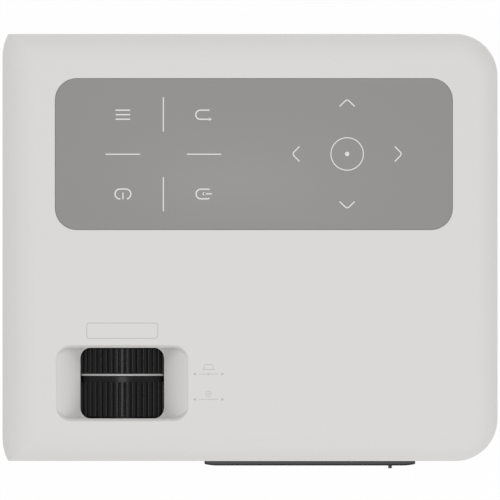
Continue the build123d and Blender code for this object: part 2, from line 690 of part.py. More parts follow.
def lamp_module():
    """LED array on its copper plate."""
    plate = block(LENS_X - 23, LENS_X + 23, behind(188.0), behind(190.0), LENS_Z - 23, LENS_Z + 23)
    return plate + block(LENS_X - 14, LENS_X + 14, behind(186.6), behind(188.0), LENS_Z - 14, LENS_Z + 14)


def lamp_heatsink():
    """Base plate with upright cooling fins."""
    sink = block(LENS_X - 40, LENS_X + 40, behind(190.0), behind(195.0), LENS_Z - 32, LENS_Z + 32)
    for index in range(20):
        x = LENS_X + (index - 9.5) * 4.1
        sink += block(x - 0.6, x + 0.6, behind(194.0), behind(226.0), LENS_Z - 32, LENS_Z + 32)
    return sink


# ---------------------------------------------------------------- fans
def fan_frame(size, depth, hub):
    """Axial fan frame about Z: duct, four arms and the motor seat."""
    frame = Box(size, size, depth) - Cylinder(size / 2 - 1.5, depth + 2)
    low = -depth / 2
    for turn in (45, 135, 225, 315):
        reach = size / 2
        arm = Rot(0, 0, turn) * Pos(reach / 2, 0, low + 1) * Box(reach, 3, 2)
        frame += arm
    frame += Pos(0, 0, low + 1) * Cylinder(hub, 2)
    hole = size / 2 - 4
    for x in (-hole, hole):
        for y in (-hole, hole):
            frame -= Pos(x, y, 0) * Cylinder(1.9, depth + 2)
    return frame


def fan_rotor(size, depth, hub, blades):
    """Hub and pitched blades, clear of the frame all round."""
    tip = size / 2 - 2.3
    low = -depth / 2 + 2.4
    high = depth / 2 - 0.6
    middle = (low + high) / 2
    rotor = Pos(0, 0, middle) * Cylinder(hub, high - low)
    envelope = Pos(0, 0, middle) * Cylinder(tip, high - low)
    for index in range(blades):
        blade = Pos(tip / 2 + 1, 0, middle) * Rot(38, 0, 0) * Box(tip - 2, (high - low) * 1.5, 1.2)
        rotor += Rot(0, 0, 360 * index / blades) * (blade & envelope)
    return rotor


LAMP_FAN = Location((LENS_X, behind(242.0), 55.0), (-90, 0, 0))
LAMP_FAN_SIZE = (80.0, 20.0, 17.0)
PANEL_FAN = Location((-HALF + 11.0, behind(LCD_PLACE), 66.0), (0, 90, 0))
PANEL_FAN_SIZE = (50.0, 14.0, 12.0)


# ---------------------------------------------------------------- disc drive
def drive_chassis():
    """Folded steel pan of the drive, open at the front."""
    x0, x1 = DRIVE_X - DRIVE_WIDTH / 2, DRIVE_X + DRIVE_WIDTH / 2
    low, high = DRIVE_BOTTOM, DRIVE_BOTTOM + DRIVE_HEIGHT - 0.8
    pan = block(x0, x1, behind(DRIVE_FRONT), behind(DRIVE_REAR), low, high)
    pan -= block(x0 + 0.6, x1 - 0.6, behind(DRIVE_FRONT - 1), behind(DRIVE_REAR - 0.6), low + 0.8, high + 1)
    return pan


def drive_lid():
    x0, x1 = DRIVE_X - DRIVE_WIDTH / 2, DRIVE_X + DRIVE_WIDTH / 2
    high = DRIVE_BOTTOM + DRIVE_HEIGHT
    return block(x0, x1, behind(DRIVE_FRONT), behind(DRIVE_REAR), high - 0.8, high)


def drive_bracket():
    """Steel plate on four posts, with raised pads that carry the drive."""
    plate = block(DRIVE_X - 64, DRIVE_X + 64, behind(6), behind(126), BRACKET_LOW, BRACKET_TOP)
    plate -= soft_block(
        DRIVE_X - 40, DRIVE_X + 40, behind(30), behind(100), BRACKET_LOW - 1, BRACKET_TOP + 1, 8
    )
    for x in (DRIVE_X - 52, DRIVE_X + 52):
        for y in (behind(40), behind(90)):
            plate += block(x - 7, x + 7, y - 5, y + 5, BRACKET_TOP - 0.5, DRIVE_BOTTOM)
    for x, y in BRACKET_POSTS:
        plate -= rod_z(x, y, BRACKET_LOW - 1, BRACKET_TOP + 1, 1.7)
    return plate


def disc_tray():
    """Tray with the stepped disc well, the mechanism window and its hollow underside."""
    low, high = DRIVE_BOTTOM + 2.0, DRIVE_BOTTOM + 10.8
    centre = behind(DISC_CENTRE)
    tray = block(
        DRIVE_X - TRAY_HALF_WIDTH, DRIVE_X + TRAY_HALF_WIDTH, behind(BEZEL_BACK), behind(TRAY_REAR), low, high
    )
    tray -= rod_z(DRIVE_X, centre, WELL_FLOOR, high + 1, DISC_WELL_RADIUS)
    tray -= rod_z(DRIVE_X, centre, WELL_FLOOR - 0.8, high + 1, SMALL_DISC_RADIUS)
    tray -= block(DRIVE_X - 59.5, DRIVE_X + 59.5, behind(5), behind(122), low - 1, DRIVE_BOTTOM + 6.0)
    tray -= block(DRIVE_X - 21, DRIVE_X + 27, centre - 58, centre - 2, low - 1, high + 1)
    tray -= rod_z(DRIVE_X, centre, low - 1, high + 1, 18.0)
    tray -= rod_y(BUTTON_X, behind(BEZEL_BACK - 1), behind(6), BUTTON_Z, 2.6)
    return tray


def tray_bezel():
    """Glossy front strip of the tray; it stands proud, and less so towards its two ends."""
    x0, x1 = DRIVE_X - DRIVE_WIDTH / 2, DRIVE_X + DRIVE_WIDTH / 2
    proud, end, back = FRONT - BEZEL_PROUD, FRONT - BEZEL_END, behind(BEZEL_BACK)
    plan = make_face(
        [
            Line((x0, back), (x0, end)),
            Spline((x0, end), (x0 + BEZEL_RUN, proud), tangents=[(1, -0.25), (1, 0)]),
            Line((x0 + BEZEL_RUN, proud), (x1 - BEZEL_RUN, proud)),
            Spline((x1 - BEZEL_RUN, proud), (x1, end), tangents=[(1, 0), (1, 0.25)]),
            Line((x1, end), (x1, back)),
            Line((x1, back), (x0, back)),
        ]
    )
    plan = fillet([v for v in plan.vertices() if abs(v.Y - end) < 1e-6], BEZEL_CORNER)
    strip = extrude(Pos(0, 0, DRIVE_BOTTOM) * plan, DRIVE_HEIGHT)
    strip -= rod_y(BUTTON_X, proud - 1, behind(BEZEL_BACK + 1), BUTTON_Z, BUTTON_RADIUS + 0.1)
    return strip


def eject_button():
    """Round button through the strip, with the collar that stops it."""
    tip = FRONT - PROUD
    button = rod_y(BUTTON_X, tip + 0.5, behind(3.0), BUTTON_Z, BUTTON_RADIUS)
    button += (Pos(BUTTON_X, tip + 1.2, BUTTON_Z) * Sphere(1.2)) & rod_y(
        BUTTON_X, tip, tip + 0.6, BUTTON_Z, BUTTON_RADIUS
    )
    return button + rod_y(BUTTON_X, behind(BEZEL_BACK + 0.1), behind(BEZEL_BACK + 1.0), BUTTON_Z, 2.0)


def tray_rail(side):
    """Sliding rail between the tray and the drive's side; side is -1 or +1."""
    x0, x1 = sorted((DRIVE_X + side * (TRAY_HALF_WIDTH + 0.2), DRIVE_X + side * (TRAY_HALF_WIDTH + 1.7)))
    return block(x0, x1, behind(6), behind(122), DRIVE_BOTTOM + 4, DRIVE_BOTTOM + 9)


ROD_OFFSET = 17.0
ROD_Z = DRIVE_BOTTOM + 4.1
SCREW_OFFSET = 23.0
SCREW_Z = DRIVE_BOTTOM + 4.4
SLED_INNER, SLED_OUTER = 15.0, 31.0      # distances in front of the disc's centre


def mechanism_plate():
    """Steel plate that hangs in the tray and carries the motor, rods and lead screw."""
    centre = behind(DISC_CENTRE)
    plate = block(DRIVE_X - 32, DRIVE_X + 32, centre - 57.5, centre + 24, DRIVE_BOTTOM + 5.2, DRIVE_BOTTOM + 6.0)
    plate -= block(
        DRIVE_X - 20.5, DRIVE_X + 26.8, centre - 56.8, centre - 14.2, DRIVE_BOTTOM + 5, DRIVE_BOTTOM + 7
    )
    plate -= rod_z(DRIVE_X, centre, DRIVE_BOTTOM + 5, DRIVE_BOTTOM + 7, 9.0)
    plate -= block(
        DRIVE_X + SCREW_OFFSET - 3, DRIVE_X + SCREW_OFFSET + 3, centre - 20.5, centre - 7.5,
        DRIVE_BOTTOM + 5, DRIVE_BOTTOM + 7,
    )
    for x in (DRIVE_X - ROD_OFFSET, DRIVE_X + ROD_OFFSET):
        for y in (centre - 57.5, centre - 14.2):
            tab = block(x - 1.8, x + 1.8, y, y + 1.4, ROD_Z - 1.6, DRIVE_BOTTOM + 5.3)
            plate += tab - rod_y(x, y - 1, y + 3, ROD_Z, 1.0)
    tab = block(
        DRIVE_X + SCREW_OFFSET - 1.8, DRIVE_X + SCREW_OFFSET + 1.8, centre - 57.5, centre - 56.1,
        SCREW_Z - 1.8, DRIVE_BOTTOM + 5.3,
    )
    return plate + tab - rod_y(DRIVE_X + SCREW_OFFSET, centre - 59, centre - 55, SCREW_Z, 0.95)


def guide_rods():
    centre = behind(DISC_CENTRE)
    return group(
        rod_y(x, centre - 57.5, centre - 12.8, ROD_Z, 1.0) for x in (DRIVE_X - ROD_OFFSET, DRIVE_X + ROD_OFFSET)
    )


def lead_screw():
    """Threaded spindle that drives the pickup, drawn with a ring groove for each turn."""
    centre = behind(DISC_CENTRE)
    x = DRIVE_X + SCREW_OFFSET
    spindle = rod_y(x, centre - 55.9, centre - 20.4, SCREW_Z, 1.2)
    spindle += rod_y(x, centre - 57.4, centre - 55.8, SCREW_Z, 0.9)
    for index in range(16):
        y = centre - 54.0 + index * 2.1
        spindle -= sleeve_y(x, y, y + 0.9, SCREW_Z, 1.6, 0.95)
    return spindle


def sled_motor():
    centre = behind(DISC_CENTRE)
    return rod_y(DRIVE_X + SCREW_OFFSET, centre - 20.2, centre - 8.0, SCREW_Z + 0.2, 3.0)


def pickup_sled():
    """Laser pickup on its two rods, with the objective lens near its outer end."""
    centre = behind(DISC_CENTRE)
    y0, y1 = centre - SLED_OUTER, centre - SLED_INNER
    low, high = DRIVE_BOTTOM + 2.4, DRIVE_BOTTOM + 7.0
    sled = block(DRIVE_X - 19.5, DRIVE_X + 19.5, y0, y1, low, high)
    for x in (DRIVE_X - ROD_OFFSET, DRIVE_X + ROD_OFFSET):
        sled -= rod_y(x, y0 - 1, y1 + 1, ROD_Z, 1.06)
    sled += block(DRIVE_X + 19.0, DRIVE_X + 21.4, y0 + 4, y1 - 6, SCREW_Z - 1.2, SCREW_Z + 1.2)
    sled += rod_z(DRIVE_X, y0 + 5.5, high - 0.5, high + 0.7, 2.2)
    return sled


def spindle_motor():
    centre = behind(DISC_CENTRE)
    motor = rod_z(DRIVE_X, centre, DRIVE_BOTTOM + 2.3, DRIVE_BOTTOM + 5.2, 13.0)
    return motor - rod_z(DRIVE_X, centre, DRIVE_BOTTOM + 3.2, DRIVE_BOTTOM + 6, 8.0)


def spindle_hub():
    """Turntable that carries the disc: platter, centring boss and three clamp balls."""
    centre = behind(DISC_CENTRE)
    hub = rod_z(DRIVE_X, centre, DRIVE_BOTTOM + 3.4, DRIVE_BOTTOM + 7.9, 7.4)
    hub += rod_z(DRIVE_X, centre, DRIVE_BOTTOM + 7.8, DRIVE_BOTTOM + 8.7, 13.5)
    hub += rod_z(DRIVE_X, centre, DRIVE_BOTTOM + 8.6, DRIVE_BOTTOM + 10.8, 7.2)
    for index in range(3):
        turn = radians(120 * index)
        hub += Pos(DRIVE_X + 6.8 * cos(turn), centre + 6.8 * sin(turn), DRIVE_BOTTOM + 9.9) * Sphere(0.8)
    return hub


def drive_board():
    return block(
        DRIVE_X - 50, DRIVE_X + 50, behind(72), behind(DRIVE_REAR - 1), DRIVE_BOTTOM + 0.8, DRIVE_BOTTOM + 1.5
    )


# ---------------------------------------------------------------- electronics
def circuit_board(board):
    x0, x1, y0, y1 = board
    plate = block(x0, x1, behind(y0), behind(y1), BOARD_Z, BOARD_TOP)
    for x, y in board_corners(board):
        plate -= rod_z(x, y, BOARD_Z - 1, BOARD_TOP + 1, 1.7)
    return plate


def box_socket(x, size, opening_width, opening_height, opening_depth):
    """Socket shell on the board with its mouth in the rear plate."""
    width, height, depth = size
    middle = BOARD_TOP + height / 2
    shell = block(x - width / 2, x + width / 2, SOCKET_FACE - depth, SOCKET_FACE, BOARD_TOP, BOARD_TOP + height)
    return shell - block(
        x - opening_width / 2, x + opening_width / 2, SOCKET_FACE - opening_depth, SOCKET_FACE + 1,
        middle - opening_height / 2, middle + opening_height / 2,
    )


def hdmi_sockets():
    return group(box_socket(x, HDMI_SIZE, 14.0, 4.8, 11.0) for x in HDMI_PLACES)


def usb_sockets():
    return group(box_socket(x, USB_SIZE, 12.6, 5.4, 12.0) for x in USB_PLACES)


def audio_jacks():
    jacks = []
    for x in JACK_PLACES:
        middle = BOARD_TOP + JACK_HEIGHT / 2
        jack = block(x - 4, x + 4, SOCKET_FACE - 14, REAR - 2.4, BOARD_TOP, BOARD_TOP + JACK_HEIGHT)
        jack += rod_y(x, REAR - 3, SOCKET_FACE, middle, 3.0)
        jacks.append(jack - rod_y(x, SOCKET_FACE - 12, REAR, middle, 1.8))
    return group(jacks)


def power_inlet():
    """Two-pin mains inlet: figure-of-eight mouth with its pins."""
    width, height, depth = INLET_SIZE
    middle = BOARD_TOP + height / 2
    body = block(
        INLET_X - width / 2, INLET_X + width / 2, SOCKET_FACE - depth, SOCKET_FACE, BOARD_TOP, BOARD_TOP + height
    )
    mouth = block(INLET_X - 4.3, INLET_X + 4.3, SOCKET_FACE - 12, SOCKET_FACE + 1, middle - 3.6, middle + 3.6)
    for x in (INLET_X - 4.3, INLET_X + 4.3):
        mouth += rod_y(x, SOCKET_FACE - 12, SOCKET_FACE + 1, middle, 4.2)
    body -= mouth
    for x in (INLET_X - 5.2, INLET_X + 5.2):
        body += rod_y(x, SOCKET_FACE - 13, SOCKET_FACE - 3, middle, 1.2)
    return body


def processor_heatsink():
    sink = block(10, 46, behind(185), behind(221), BOARD_TOP, BOARD_TOP + 3)
    for index in range(9):
        x = 12 + index * 4.0
        sink += block(x - 0.7, x + 0.7, behind(185), behind(221), BOARD_TOP + 2, BOARD_TOP + 12)
    return sink


def board_chips():
    """Memory chips and coils on the main board."""
    chips = [block(x, x + 10, behind(170), behind(180), BOARD_TOP, BOARD_TOP + 1.2) for x in (8, 22, 36)]
    chips += [block(x, x + 8, behind(162), behind(170), BOARD_TOP, BOARD_TOP + 5) for x in (54, 66)]
    return group(chips)


def capacitors():
    places = [(56, 182, 4.0, 12.0), (66, 182, 4.0, 12.0), (105, 172, 9.0, 28.0), (122, 168, 5.0, 20.0),
              (122, 180, 5.0, 20.0)]
    return group(rod_z(x, behind(y), BOARD_TOP, BOARD_TOP + height, radius) for x, y, radius, height in places)


def transformer():
    """Wound bobbin inside its ferrite core."""
    core = block(95, 121, behind(190), behind(210), BOARD_TOP, BOARD_TOP + 22)
    return core + block(98, 118, behind(186), behind(214), BOARD_TOP + 4, BOARD_TOP + 18)


def power_heatsink():
    return block(88.5, 90.5, behind(166), behind(206), BOARD_TOP, BOARD_TOP + 22)


# ---------------------------------------------------------------- speakers
SPEAKER_Y = behind(62.0)
SPEAKER_Z = 58.0
SPEAKER_FACE = HALF - WALL


def speaker_frame(side):
    """Oval-basket driver frame with its magnet, facing the side grille."""
    face = Rot(0, 90, 0) * RectangleRounded(42, 70, 8)
    plate = extrude(face, 2.5, dir=(-1, 0, 0))
    basket = rod_x(-11, -2.4, 0, 0, 18.5)
    magnet = rod_x(-20, -10.9, 0, 0, 14.0)
    whole = plate + basket + magnet - rod_x(-9.5, 1, 0, 0, 17.0)
    whole = Pos(SPEAKER_FACE, 0, 0) * whole
    return place_speaker(whole, side)


def speaker_cone(side):
    """Paper cone with its dust cap, inside the frame."""
    cone = Pos(-5.2, 0, 0) * Rot(0, 90, 0) * Cone(7.0, 16.6, 8.0)
    hollow = Pos(-4.2, 0, 0) * Rot(0, 90, 0) * Cone(6.0, 15.8, 8.0)
    cap = (Pos(-11.0, 0, 0) * Sphere(7.0)) & rod_x(-8.3, 0, 0, 0, 6.6)
    rim = rod_x(-1.6, -1.0, 0, 0, 17.0) - rod_x(-2, 0, 0, 0, 15.8)
    whole = Pos(SPEAKER_FACE, 0, 0) * (cone - hollow + cap + rim)
    return place_speaker(whole, side)


def place_speaker(shape, side):
    if side < 0:
        shape = mirror(shape, about=Plane.YZ)
    return Pos(0, SPEAKER_Y, SPEAKER_Z) * shape


# ---------------------------------------------------------------- feet and mounting points
def rubber_feet():
    feet = []
    for x, y in FEET:
        foot = rod_z(x, y, 0, BASE + 1, FOOT_RADIUS)
        feet.append(chamfer(foot.faces().sort_by(Axis.Z)[0].edges(), 0.8))
    return group(feet)


def foot_pad():
    pad = rod_z(0, FOOT_SCREW_Y, 0, 3.0, 9.0)
    return chamfer(pad.faces().sort_by(Axis.Z)[0].edges(), 0.6)


def foot_screw():
    """Threaded foot with its knurled wheel, above the pad."""
    wheel = rod_z(0, FOOT_SCREW_Y, 3.0, 7.4, 10.0)
    for index in range(24):
        turn = 2 * pi * index / 24
        wheel -= rod_z(10.3 * cos(turn), FOOT_SCREW_Y + 10.3 * sin(turn), 2, 8, 0.8)
    return wheel + rod_z(0, FOOT_SCREW_Y, 7.3, BASE + 23, FOOT_SCREW_RADIUS)


def threaded_inserts():
    """Four ceiling-mount inserts and one tripod insert, in the underside."""
    tripod = rod_z(0, TRIPOD_Y, BASE, BASE + INSERT_LENGTH, 6.0)
    inserts = [tripod - rod_z(0, TRIPOD_Y, BASE - 1, BASE + INSERT_LENGTH + 1, TRIPOD_THREAD_RADIUS)]
    for x, y in MOUNT_POINTS:
        insert = rod_z(x, y, BASE, BASE + INSERT_LENGTH, INSERT_RADIUS)
        inserts.append(insert - rod_z(x, y, BASE - 1, BASE + INSERT_LENGTH + 1, MOUNT_THREAD_RADIUS))
    return group(inserts)


# ---------------------------------------------------------------- fasteners
def case_screws():
    return group(screw(x, y, BASE + 7, 1.45, 16.0, 3.0, 1.8, points=1) for x, y in CASE_POSTS)


def inner_screws():
    """Short screws of the boards, the light engine and the drive bracket."""
    seats = [(x, y, BOARD_TOP) for x, y in BOARD_POSTS]
    seats += [(x, y, ENGINE_BOTTOM + ENGINE_WALL) for x, y in ENGINE_POSTS]
    seats += [(x, y, BRACKET_TOP) for x, y in BRACKET_POSTS]
    return group(screw(x, y, seat, 1.15, 8.0, 2.6, 1.6) for x, y, seat in seats)


PARTS = {
    "top_cover": top_cover,
    "bottom_housing": bottom_housing,
    "side_grilles": lambda: group([side_grille(-1), side_grille(1)]),
    "lens_port": lens_port,
    "ir_window": ir_window,
    "rear_plate": rear_plate,
    "control_panel": control_panel,
    "touch_board": touch_board,
    "focus_ring": focus_ring,
    "keystone_ring": keystone_ring,
    "ring_trim": ring_trim,
    "lens_tube": lens_tube,
    "lens_barrel": lens_barrel,
    "front_lens": lambda: lens_element(27.0, 22.5, 2.0, 5.0, 1.5),
    "rear_lens": lambda: lens_element(53.3, 21.9, 2.6, 1.2, 3.5),
    "engine_housing": engine_housing,
    "engine_lid": engine_lid,
    "fresnel_front": fresnel_front,
    "fresnel_rear": fresnel_rear,
    "polariser_glass": polariser_glass,
    "lcd_frame": lcd_frame,
    "lcd_panel": lcd_panel,
    "reflector": reflector,
    "lamp_module": lamp_module,
    "lamp_heatsink": lamp_heatsink,
    "lamp_fan_frame": lambda: LAMP_FAN * fan_frame(*LAMP_FAN_SIZE),
    "lamp_fan_rotor": lambda: LAMP_FAN * fan_rotor(*LAMP_FAN_SIZE, 7),
    "panel_fan_frame": lambda: PANEL_FAN * fan_frame(*PANEL_FAN_SIZE),
    "panel_fan_rotor": lambda: PANEL_FAN * fan_rotor(*PANEL_FAN_SIZE, 7),
    "drive_chassis": drive_chassis,
    "drive_lid": drive_lid,
    "drive_bracket": drive_bracket,
    "drive_board": drive_board,
    "disc_tray": disc_tray,
    "tray_bezel": tray_bezel,
    "eject_button": eject_button,
    "tray_rails": lambda: group([tray_rail(-1), tray_rail(1)]),
    "mechanism_plate": mechanism_plate,
    "guide_rods": guide_rods,
    "lead_screw": lead_screw,
    "sled_motor": sled_motor,
    "pickup_sled": pickup_sled,
    "spindle_motor": spindle_motor,
    "spindle_hub": spindle_hub,
    "main_board": lambda: circuit_board(MAIN_BOARD),
    "power_board": lambda: circuit_board(POWER_BOARD),
    "hdmi_sockets": hdmi_sockets,
    "usb_sockets": usb_sockets,
    "audio_jacks": audio_jacks,
    "power_inlet": power_inlet,
    "processor_heatsink": processor_heatsink,
    "board_components": lambda: group([board_chips(), capacitors(), transformer(), power_heatsink()]),
    "speaker_frames": lambda: group([speaker_frame(-1), speaker_frame(1)]),
    "speaker_cones": lambda: group([speaker_cone(-1), speaker_cone(1)]),
    "rubber_feet": rubber_feet,
    "foot_pad": foot_pad,
    "foot_screw": foot_screw,
    "threaded_inserts": threaded_inserts,
    "case_screws": case_screws,
    "inner_screws": inner_screws,
}

os.makedirs("parts", exist_ok=True)
for name, make in PARTS.items():
    export_step(make(), f"parts/{name}.step")
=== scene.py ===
"""Disc projector: finishes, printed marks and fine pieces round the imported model. Metres, +Z up.

The lens and the disc tray face -Y. Sizes are written in millimetres: times MM, or through mm().
"""
import json
from math import cos, pi, radians, sin, sqrt

import bmesh
import bpy
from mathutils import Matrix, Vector


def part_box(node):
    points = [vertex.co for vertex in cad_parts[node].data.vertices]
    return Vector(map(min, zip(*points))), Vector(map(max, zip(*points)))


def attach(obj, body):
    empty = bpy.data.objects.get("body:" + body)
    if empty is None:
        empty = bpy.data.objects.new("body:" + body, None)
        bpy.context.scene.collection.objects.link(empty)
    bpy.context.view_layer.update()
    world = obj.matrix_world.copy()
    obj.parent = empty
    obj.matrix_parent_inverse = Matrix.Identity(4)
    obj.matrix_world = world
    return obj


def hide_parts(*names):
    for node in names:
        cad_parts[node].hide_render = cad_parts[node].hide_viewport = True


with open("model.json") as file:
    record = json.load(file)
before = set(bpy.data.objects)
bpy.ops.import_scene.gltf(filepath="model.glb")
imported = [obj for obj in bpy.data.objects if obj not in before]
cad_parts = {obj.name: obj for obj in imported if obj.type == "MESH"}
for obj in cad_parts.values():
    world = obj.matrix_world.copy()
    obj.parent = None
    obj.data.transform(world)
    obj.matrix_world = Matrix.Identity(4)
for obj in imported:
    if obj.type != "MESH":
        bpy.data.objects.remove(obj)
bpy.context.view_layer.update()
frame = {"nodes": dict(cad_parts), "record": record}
nodes = frame["nodes"]
BODY_OF = {node: body for body, members in frame["record"]["behaviour"]["bodies"].items() for node in members}
COVER_BODY = BODY_OF["top_cover"]
MM = 0.001

# ---------------------------------------------------------------- places taken from the frame
cover_low, cover_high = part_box("top_cover")
FRONT, REAR, TOP = cover_low.y, cover_high.y, cover_high.z
ring_low, ring_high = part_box("focus_ring")
AXIS = Vector(((ring_low.x + ring_high.x) / 2, 0, (ring_low.z + ring_high.z) / 2))
RING_RADIUS = (ring_high.x - ring_low.x) / 2

# ---------------------------------------------------------------- the photograph's frame
PHOTO_SIDE = 500.0
PIXEL = 0.606 * MM
PHOTO_CENTRE_X, PHOTO_CENTRE_Y = 250.0, 247.5
PHOTO_SHIFT_Y = (FRONT + REAR) / 2


def spot(px, py):
    """Place on the top of the case under a pixel of the photograph."""
    return Vector(((px - PHOTO_CENTRE_X) * PIXEL, (PHOTO_CENTRE_Y - py) * PIXEL + PHOTO_SHIFT_Y))


# ---------------------------------------------------------------- colours and nodes
def linear(hex_code):
    """sRGB hex colour as linear RGBA."""
    channels = [int(hex_code[i:i + 2], 16) / 255 for i in (1, 3, 5)]
    return (*(c / 12.92 if c <= 0.04045 else ((c + 0.055) / 1.055) ** 2.4 for c in channels), 1.0)


def shade(hex_code, share):
    """The same colour, lighter or darker by a share."""
    return (*(min(1.0, c * (1 + share)) for c in linear(hex_code)[:3]), 1.0)


def add(tree, kind, settings=None):
    """A node with its settings: properties, socket values, and links from sockets or nodes' first outputs."""
    node = tree.nodes.new(kind)
    for key, value in (settings or {}).items():
        if isinstance(value, bpy.types.Node):
            value = value.outputs[0]
        if isinstance(value, bpy.types.NodeSocket):
            tree.links.new(value, node.inputs[key])
        elif isinstance(key, int) or key in node.inputs:
            node.inputs[key].default_value = value
        else:
            setattr(node, key, value)
    return node


MIX_A, MIX_B, MIX_RESULT = 6, 7, 2       # colour sockets of the Mix node


def surface(name, colour, roughness, metallic=0.0, grain=0.8, depth=0.006, stretch=(1, 1, 1), mottle=0.02,
            mottle_size=25.0, rough_spread=0.05, edge=0.0, **sockets):
    """A finish with a fine relief, a slow change of tone, an uneven gloss and broken edges; sizes in mm."""
    material = bpy.data.materials.new(name)
    material.use_nodes = True
    tree = material.node_tree
    shader = tree.nodes["Principled BSDF"]
    place = add(tree, "ShaderNodeTexCoord").outputs["Object"]
    mapped = add(tree, "ShaderNodeMapping", {"Scale": stretch, "Vector": place})
    fine = add(tree, "ShaderNodeTexNoise", {
        "Scale": 1 / (grain * MM), "Detail": 3.0, "Roughness": 0.55, "Vector": mapped}).outputs["Fac"]
    slow = add(tree, "ShaderNodeTexNoise", {
        "Scale": 1 / (mottle_size * MM), "Detail": 2.0, "Vector": mapped}).outputs["Fac"]
    tone = add(tree, "ShaderNodeMix", {
        "data_type": "RGBA", 0: slow, MIX_A: shade(colour, -mottle), MIX_B: shade(colour, mottle)})
    gloss = add(tree, "ShaderNodeMapRange", {
        "To Min": roughness - rough_spread, "To Max": roughness + rough_spread, "Value": fine})
    relief = add(tree, "ShaderNodeBump", {"Distance": depth * MM, "Strength": 1.0, "Height": fine})
    if edge:
        broken = add(tree, "ShaderNodeBevel", {"samples": 4, "Radius": edge * MM})
        tree.links.new(broken.outputs["Normal"], relief.inputs["Normal"])
    tree.links.new(tone.outputs[MIX_RESULT], shader.inputs["Base Color"])
    tree.links.new(gloss.outputs["Result"], shader.inputs["Roughness"])
    tree.links.new(relief.outputs["Normal"], shader.inputs["Normal"])
    shader.inputs["Metallic"].default_value = metallic
    for key, value in sockets.items():
        shader.inputs[key.replace("_", " ")].default_value = value
    return material


def overlaid(material, share, colour):
    """Lays a colour over a finish's own tone, as much as share says."""
    tree = material.node_tree
    base = tree.nodes["Principled BSDF"].inputs["Base Color"]
    both = add(tree, "ShaderNodeMix", {
        "data_type": "RGBA", 0: share, MIX_A: base.links[0].from_socket, MIX_B: linear(colour)})
    tree.links.new(both.outputs[MIX_RESULT], base)


def painted_hollow_shade(material, reach, share):
    """Painted shade: darkens the colour in hollows and recesses, as far as ambient occlusion finds them
    closed in, where shade would fall.
    """
    tree = material.node_tree
    openness = add(tree, "ShaderNodeAmbientOcclusion", {"samples": 4, "Distance": reach}).outputs["AO"]
    depth = add(tree, "ShaderNodeMapRange", {"To Min": share, "To Max": 0.0, "Value": openness})
    overlaid(material, depth.outputs["Result"], "#000000")


def joint_line(material, height, width):
    """Joint between the two mouldings of the case: a narrow gap that stays in shadow."""
    tree = material.node_tree
    place = add(tree, "ShaderNodeTexCoord").outputs["Object"]
    level = add(tree, "ShaderNodeSeparateXYZ", {"Vector": place}).outputs["Z"]
    above = add(tree, "ShaderNodeMath", {"operation": "SUBTRACT", 0: level, 1: height})
    away = add(tree, "ShaderNodeMath", {"operation": "ABSOLUTE", 0: above})
    inside = add(tree, "ShaderNodeMapRange", {
        "From Min": width * 0.35, "From Max": width * 0.5, "To Min": 1.0, "To Max": 0.0, "Value": away})
    overlaid(material, inside.outputs["Result"], "#2E2D2C")


# moulded ABS, spark-eroded fine texture: a soft sheen and no sharp reflections
SHELL = surface("moulded_abs_shell", "#DAD9D7", 0.52, grain=0.9, depth=0.004, mottle=0.008, mottle_size=60,
                edge=0.35, IOR=1.53)
# painted shade: the shell's colour is darkened in its hollows and recesses by ambient occlusion
painted_hollow_shade(SHELL, reach=45 * MM, share=0.19)
joint_line(SHELL, height=cover_low.z, width=0.45 * MM)
# moulded grey ABS of the grilles: the same soft sheen, a little coarser
GRILLE = surface("moulded_abs_grille", "#B4B3B0", 0.5, grain=0.9, mottle=0.015, IOR=1.53)
# back-printed acrylic sheet with a satin hard coat: even grey under a thin clear gloss
PANEL = surface("satin_acrylic_panel", "#8E8D8B", 0.46, grain=0.5, depth=0.001, mottle=0.006, mottle_size=80,
                IOR=1.49, Coat_Weight=0.08, Coat_Roughness=0.25)
# screen-printed ink: flat and slightly chalky
PALE_INK = surface("screen_ink_pale", "#E1E0DE", 0.6, grain=0.4, depth=0.002, mottle_size=5)
# pad-printed grey ink of the setting marks: flat, barely darker than the shell
GREY_INK = surface("pad_print_grey", "#BAB9B7", 0.6, grain=0.4, depth=0.002, mottle_size=5)
# black moulded ABS of the lens rings, slightly polished along the ribs by fingers
RING_BLACK = surface("moulded_abs_black", "#0D0D0D", 0.26, grain=0.6, depth=0.003, mottle=0.06,
                     mottle_size=12, rough_spread=0.06, IOR=1.53, Specular_IOR_Level=0.15)
# vacuum-metallised trim ring: a pale satin metal, less bright than polished steel
TRIM = surface("metallised_trim", "#A6A6A5", 0.5, metallic=0.4, grain=0.5, depth=0.001)
# black polystyrene structure parts: an even, plain half gloss
BLACK = surface("moulded_ps_black", "#232324", 0.48, mottle=0.05, IOR=1.55)
# high-gloss polystyrene of the tray front: dark, with clear soft reflections
GLOSS_BLACK = surface("gloss_ps_black", "#1E1D1F", 0.16, grain=1.5, depth=0.001, rough_spread=0.03,
                      IOR=1.57, Coat_Weight=0.25, Coat_Roughness=0.05)
# dark grey polystyrene of the disc tray: matt, so that no light strays
TRAY_GREY = surface("moulded_ps_tray", "#3A3A3C", 0.5, grain=0.7, mottle=0.03, IOR=1.55)
# zinc-plated sheet steel: cool grey with a soft cloudy bloom
STEEL = surface("zinc_plated_sheet", "#B9BCC0", 0.36, metallic=1.0, grain=1.2, depth=0.003, mottle=0.08,
                mottle_size=14, rough_spread=0.1)
# extruded aluminium: faint lines drawn along its fins
ALUMINIUM = surface("extruded_aluminium", "#C4C6C8", 0.38, metallic=1.0, grain=0.6, depth=0.004,
                    stretch=(1, 0.05, 1), mottle=0.05)
# centreless-ground steel rod: fine rings round the rod
GROUND_STEEL = surface("ground_steel", "#C6C8CA", 0.22, metallic=1.0, grain=0.3, depth=0.001,
                       stretch=(0.1, 1, 0.1))
# rolled copper plate: warm, with lines along the way it was rolled
COPPER = surface("rolled_copper", "#C77B52", 0.34, metallic=1.0, grain=0.7, depth=0.003, stretch=(1, 1, 0.1),
                 mottle=0.08)
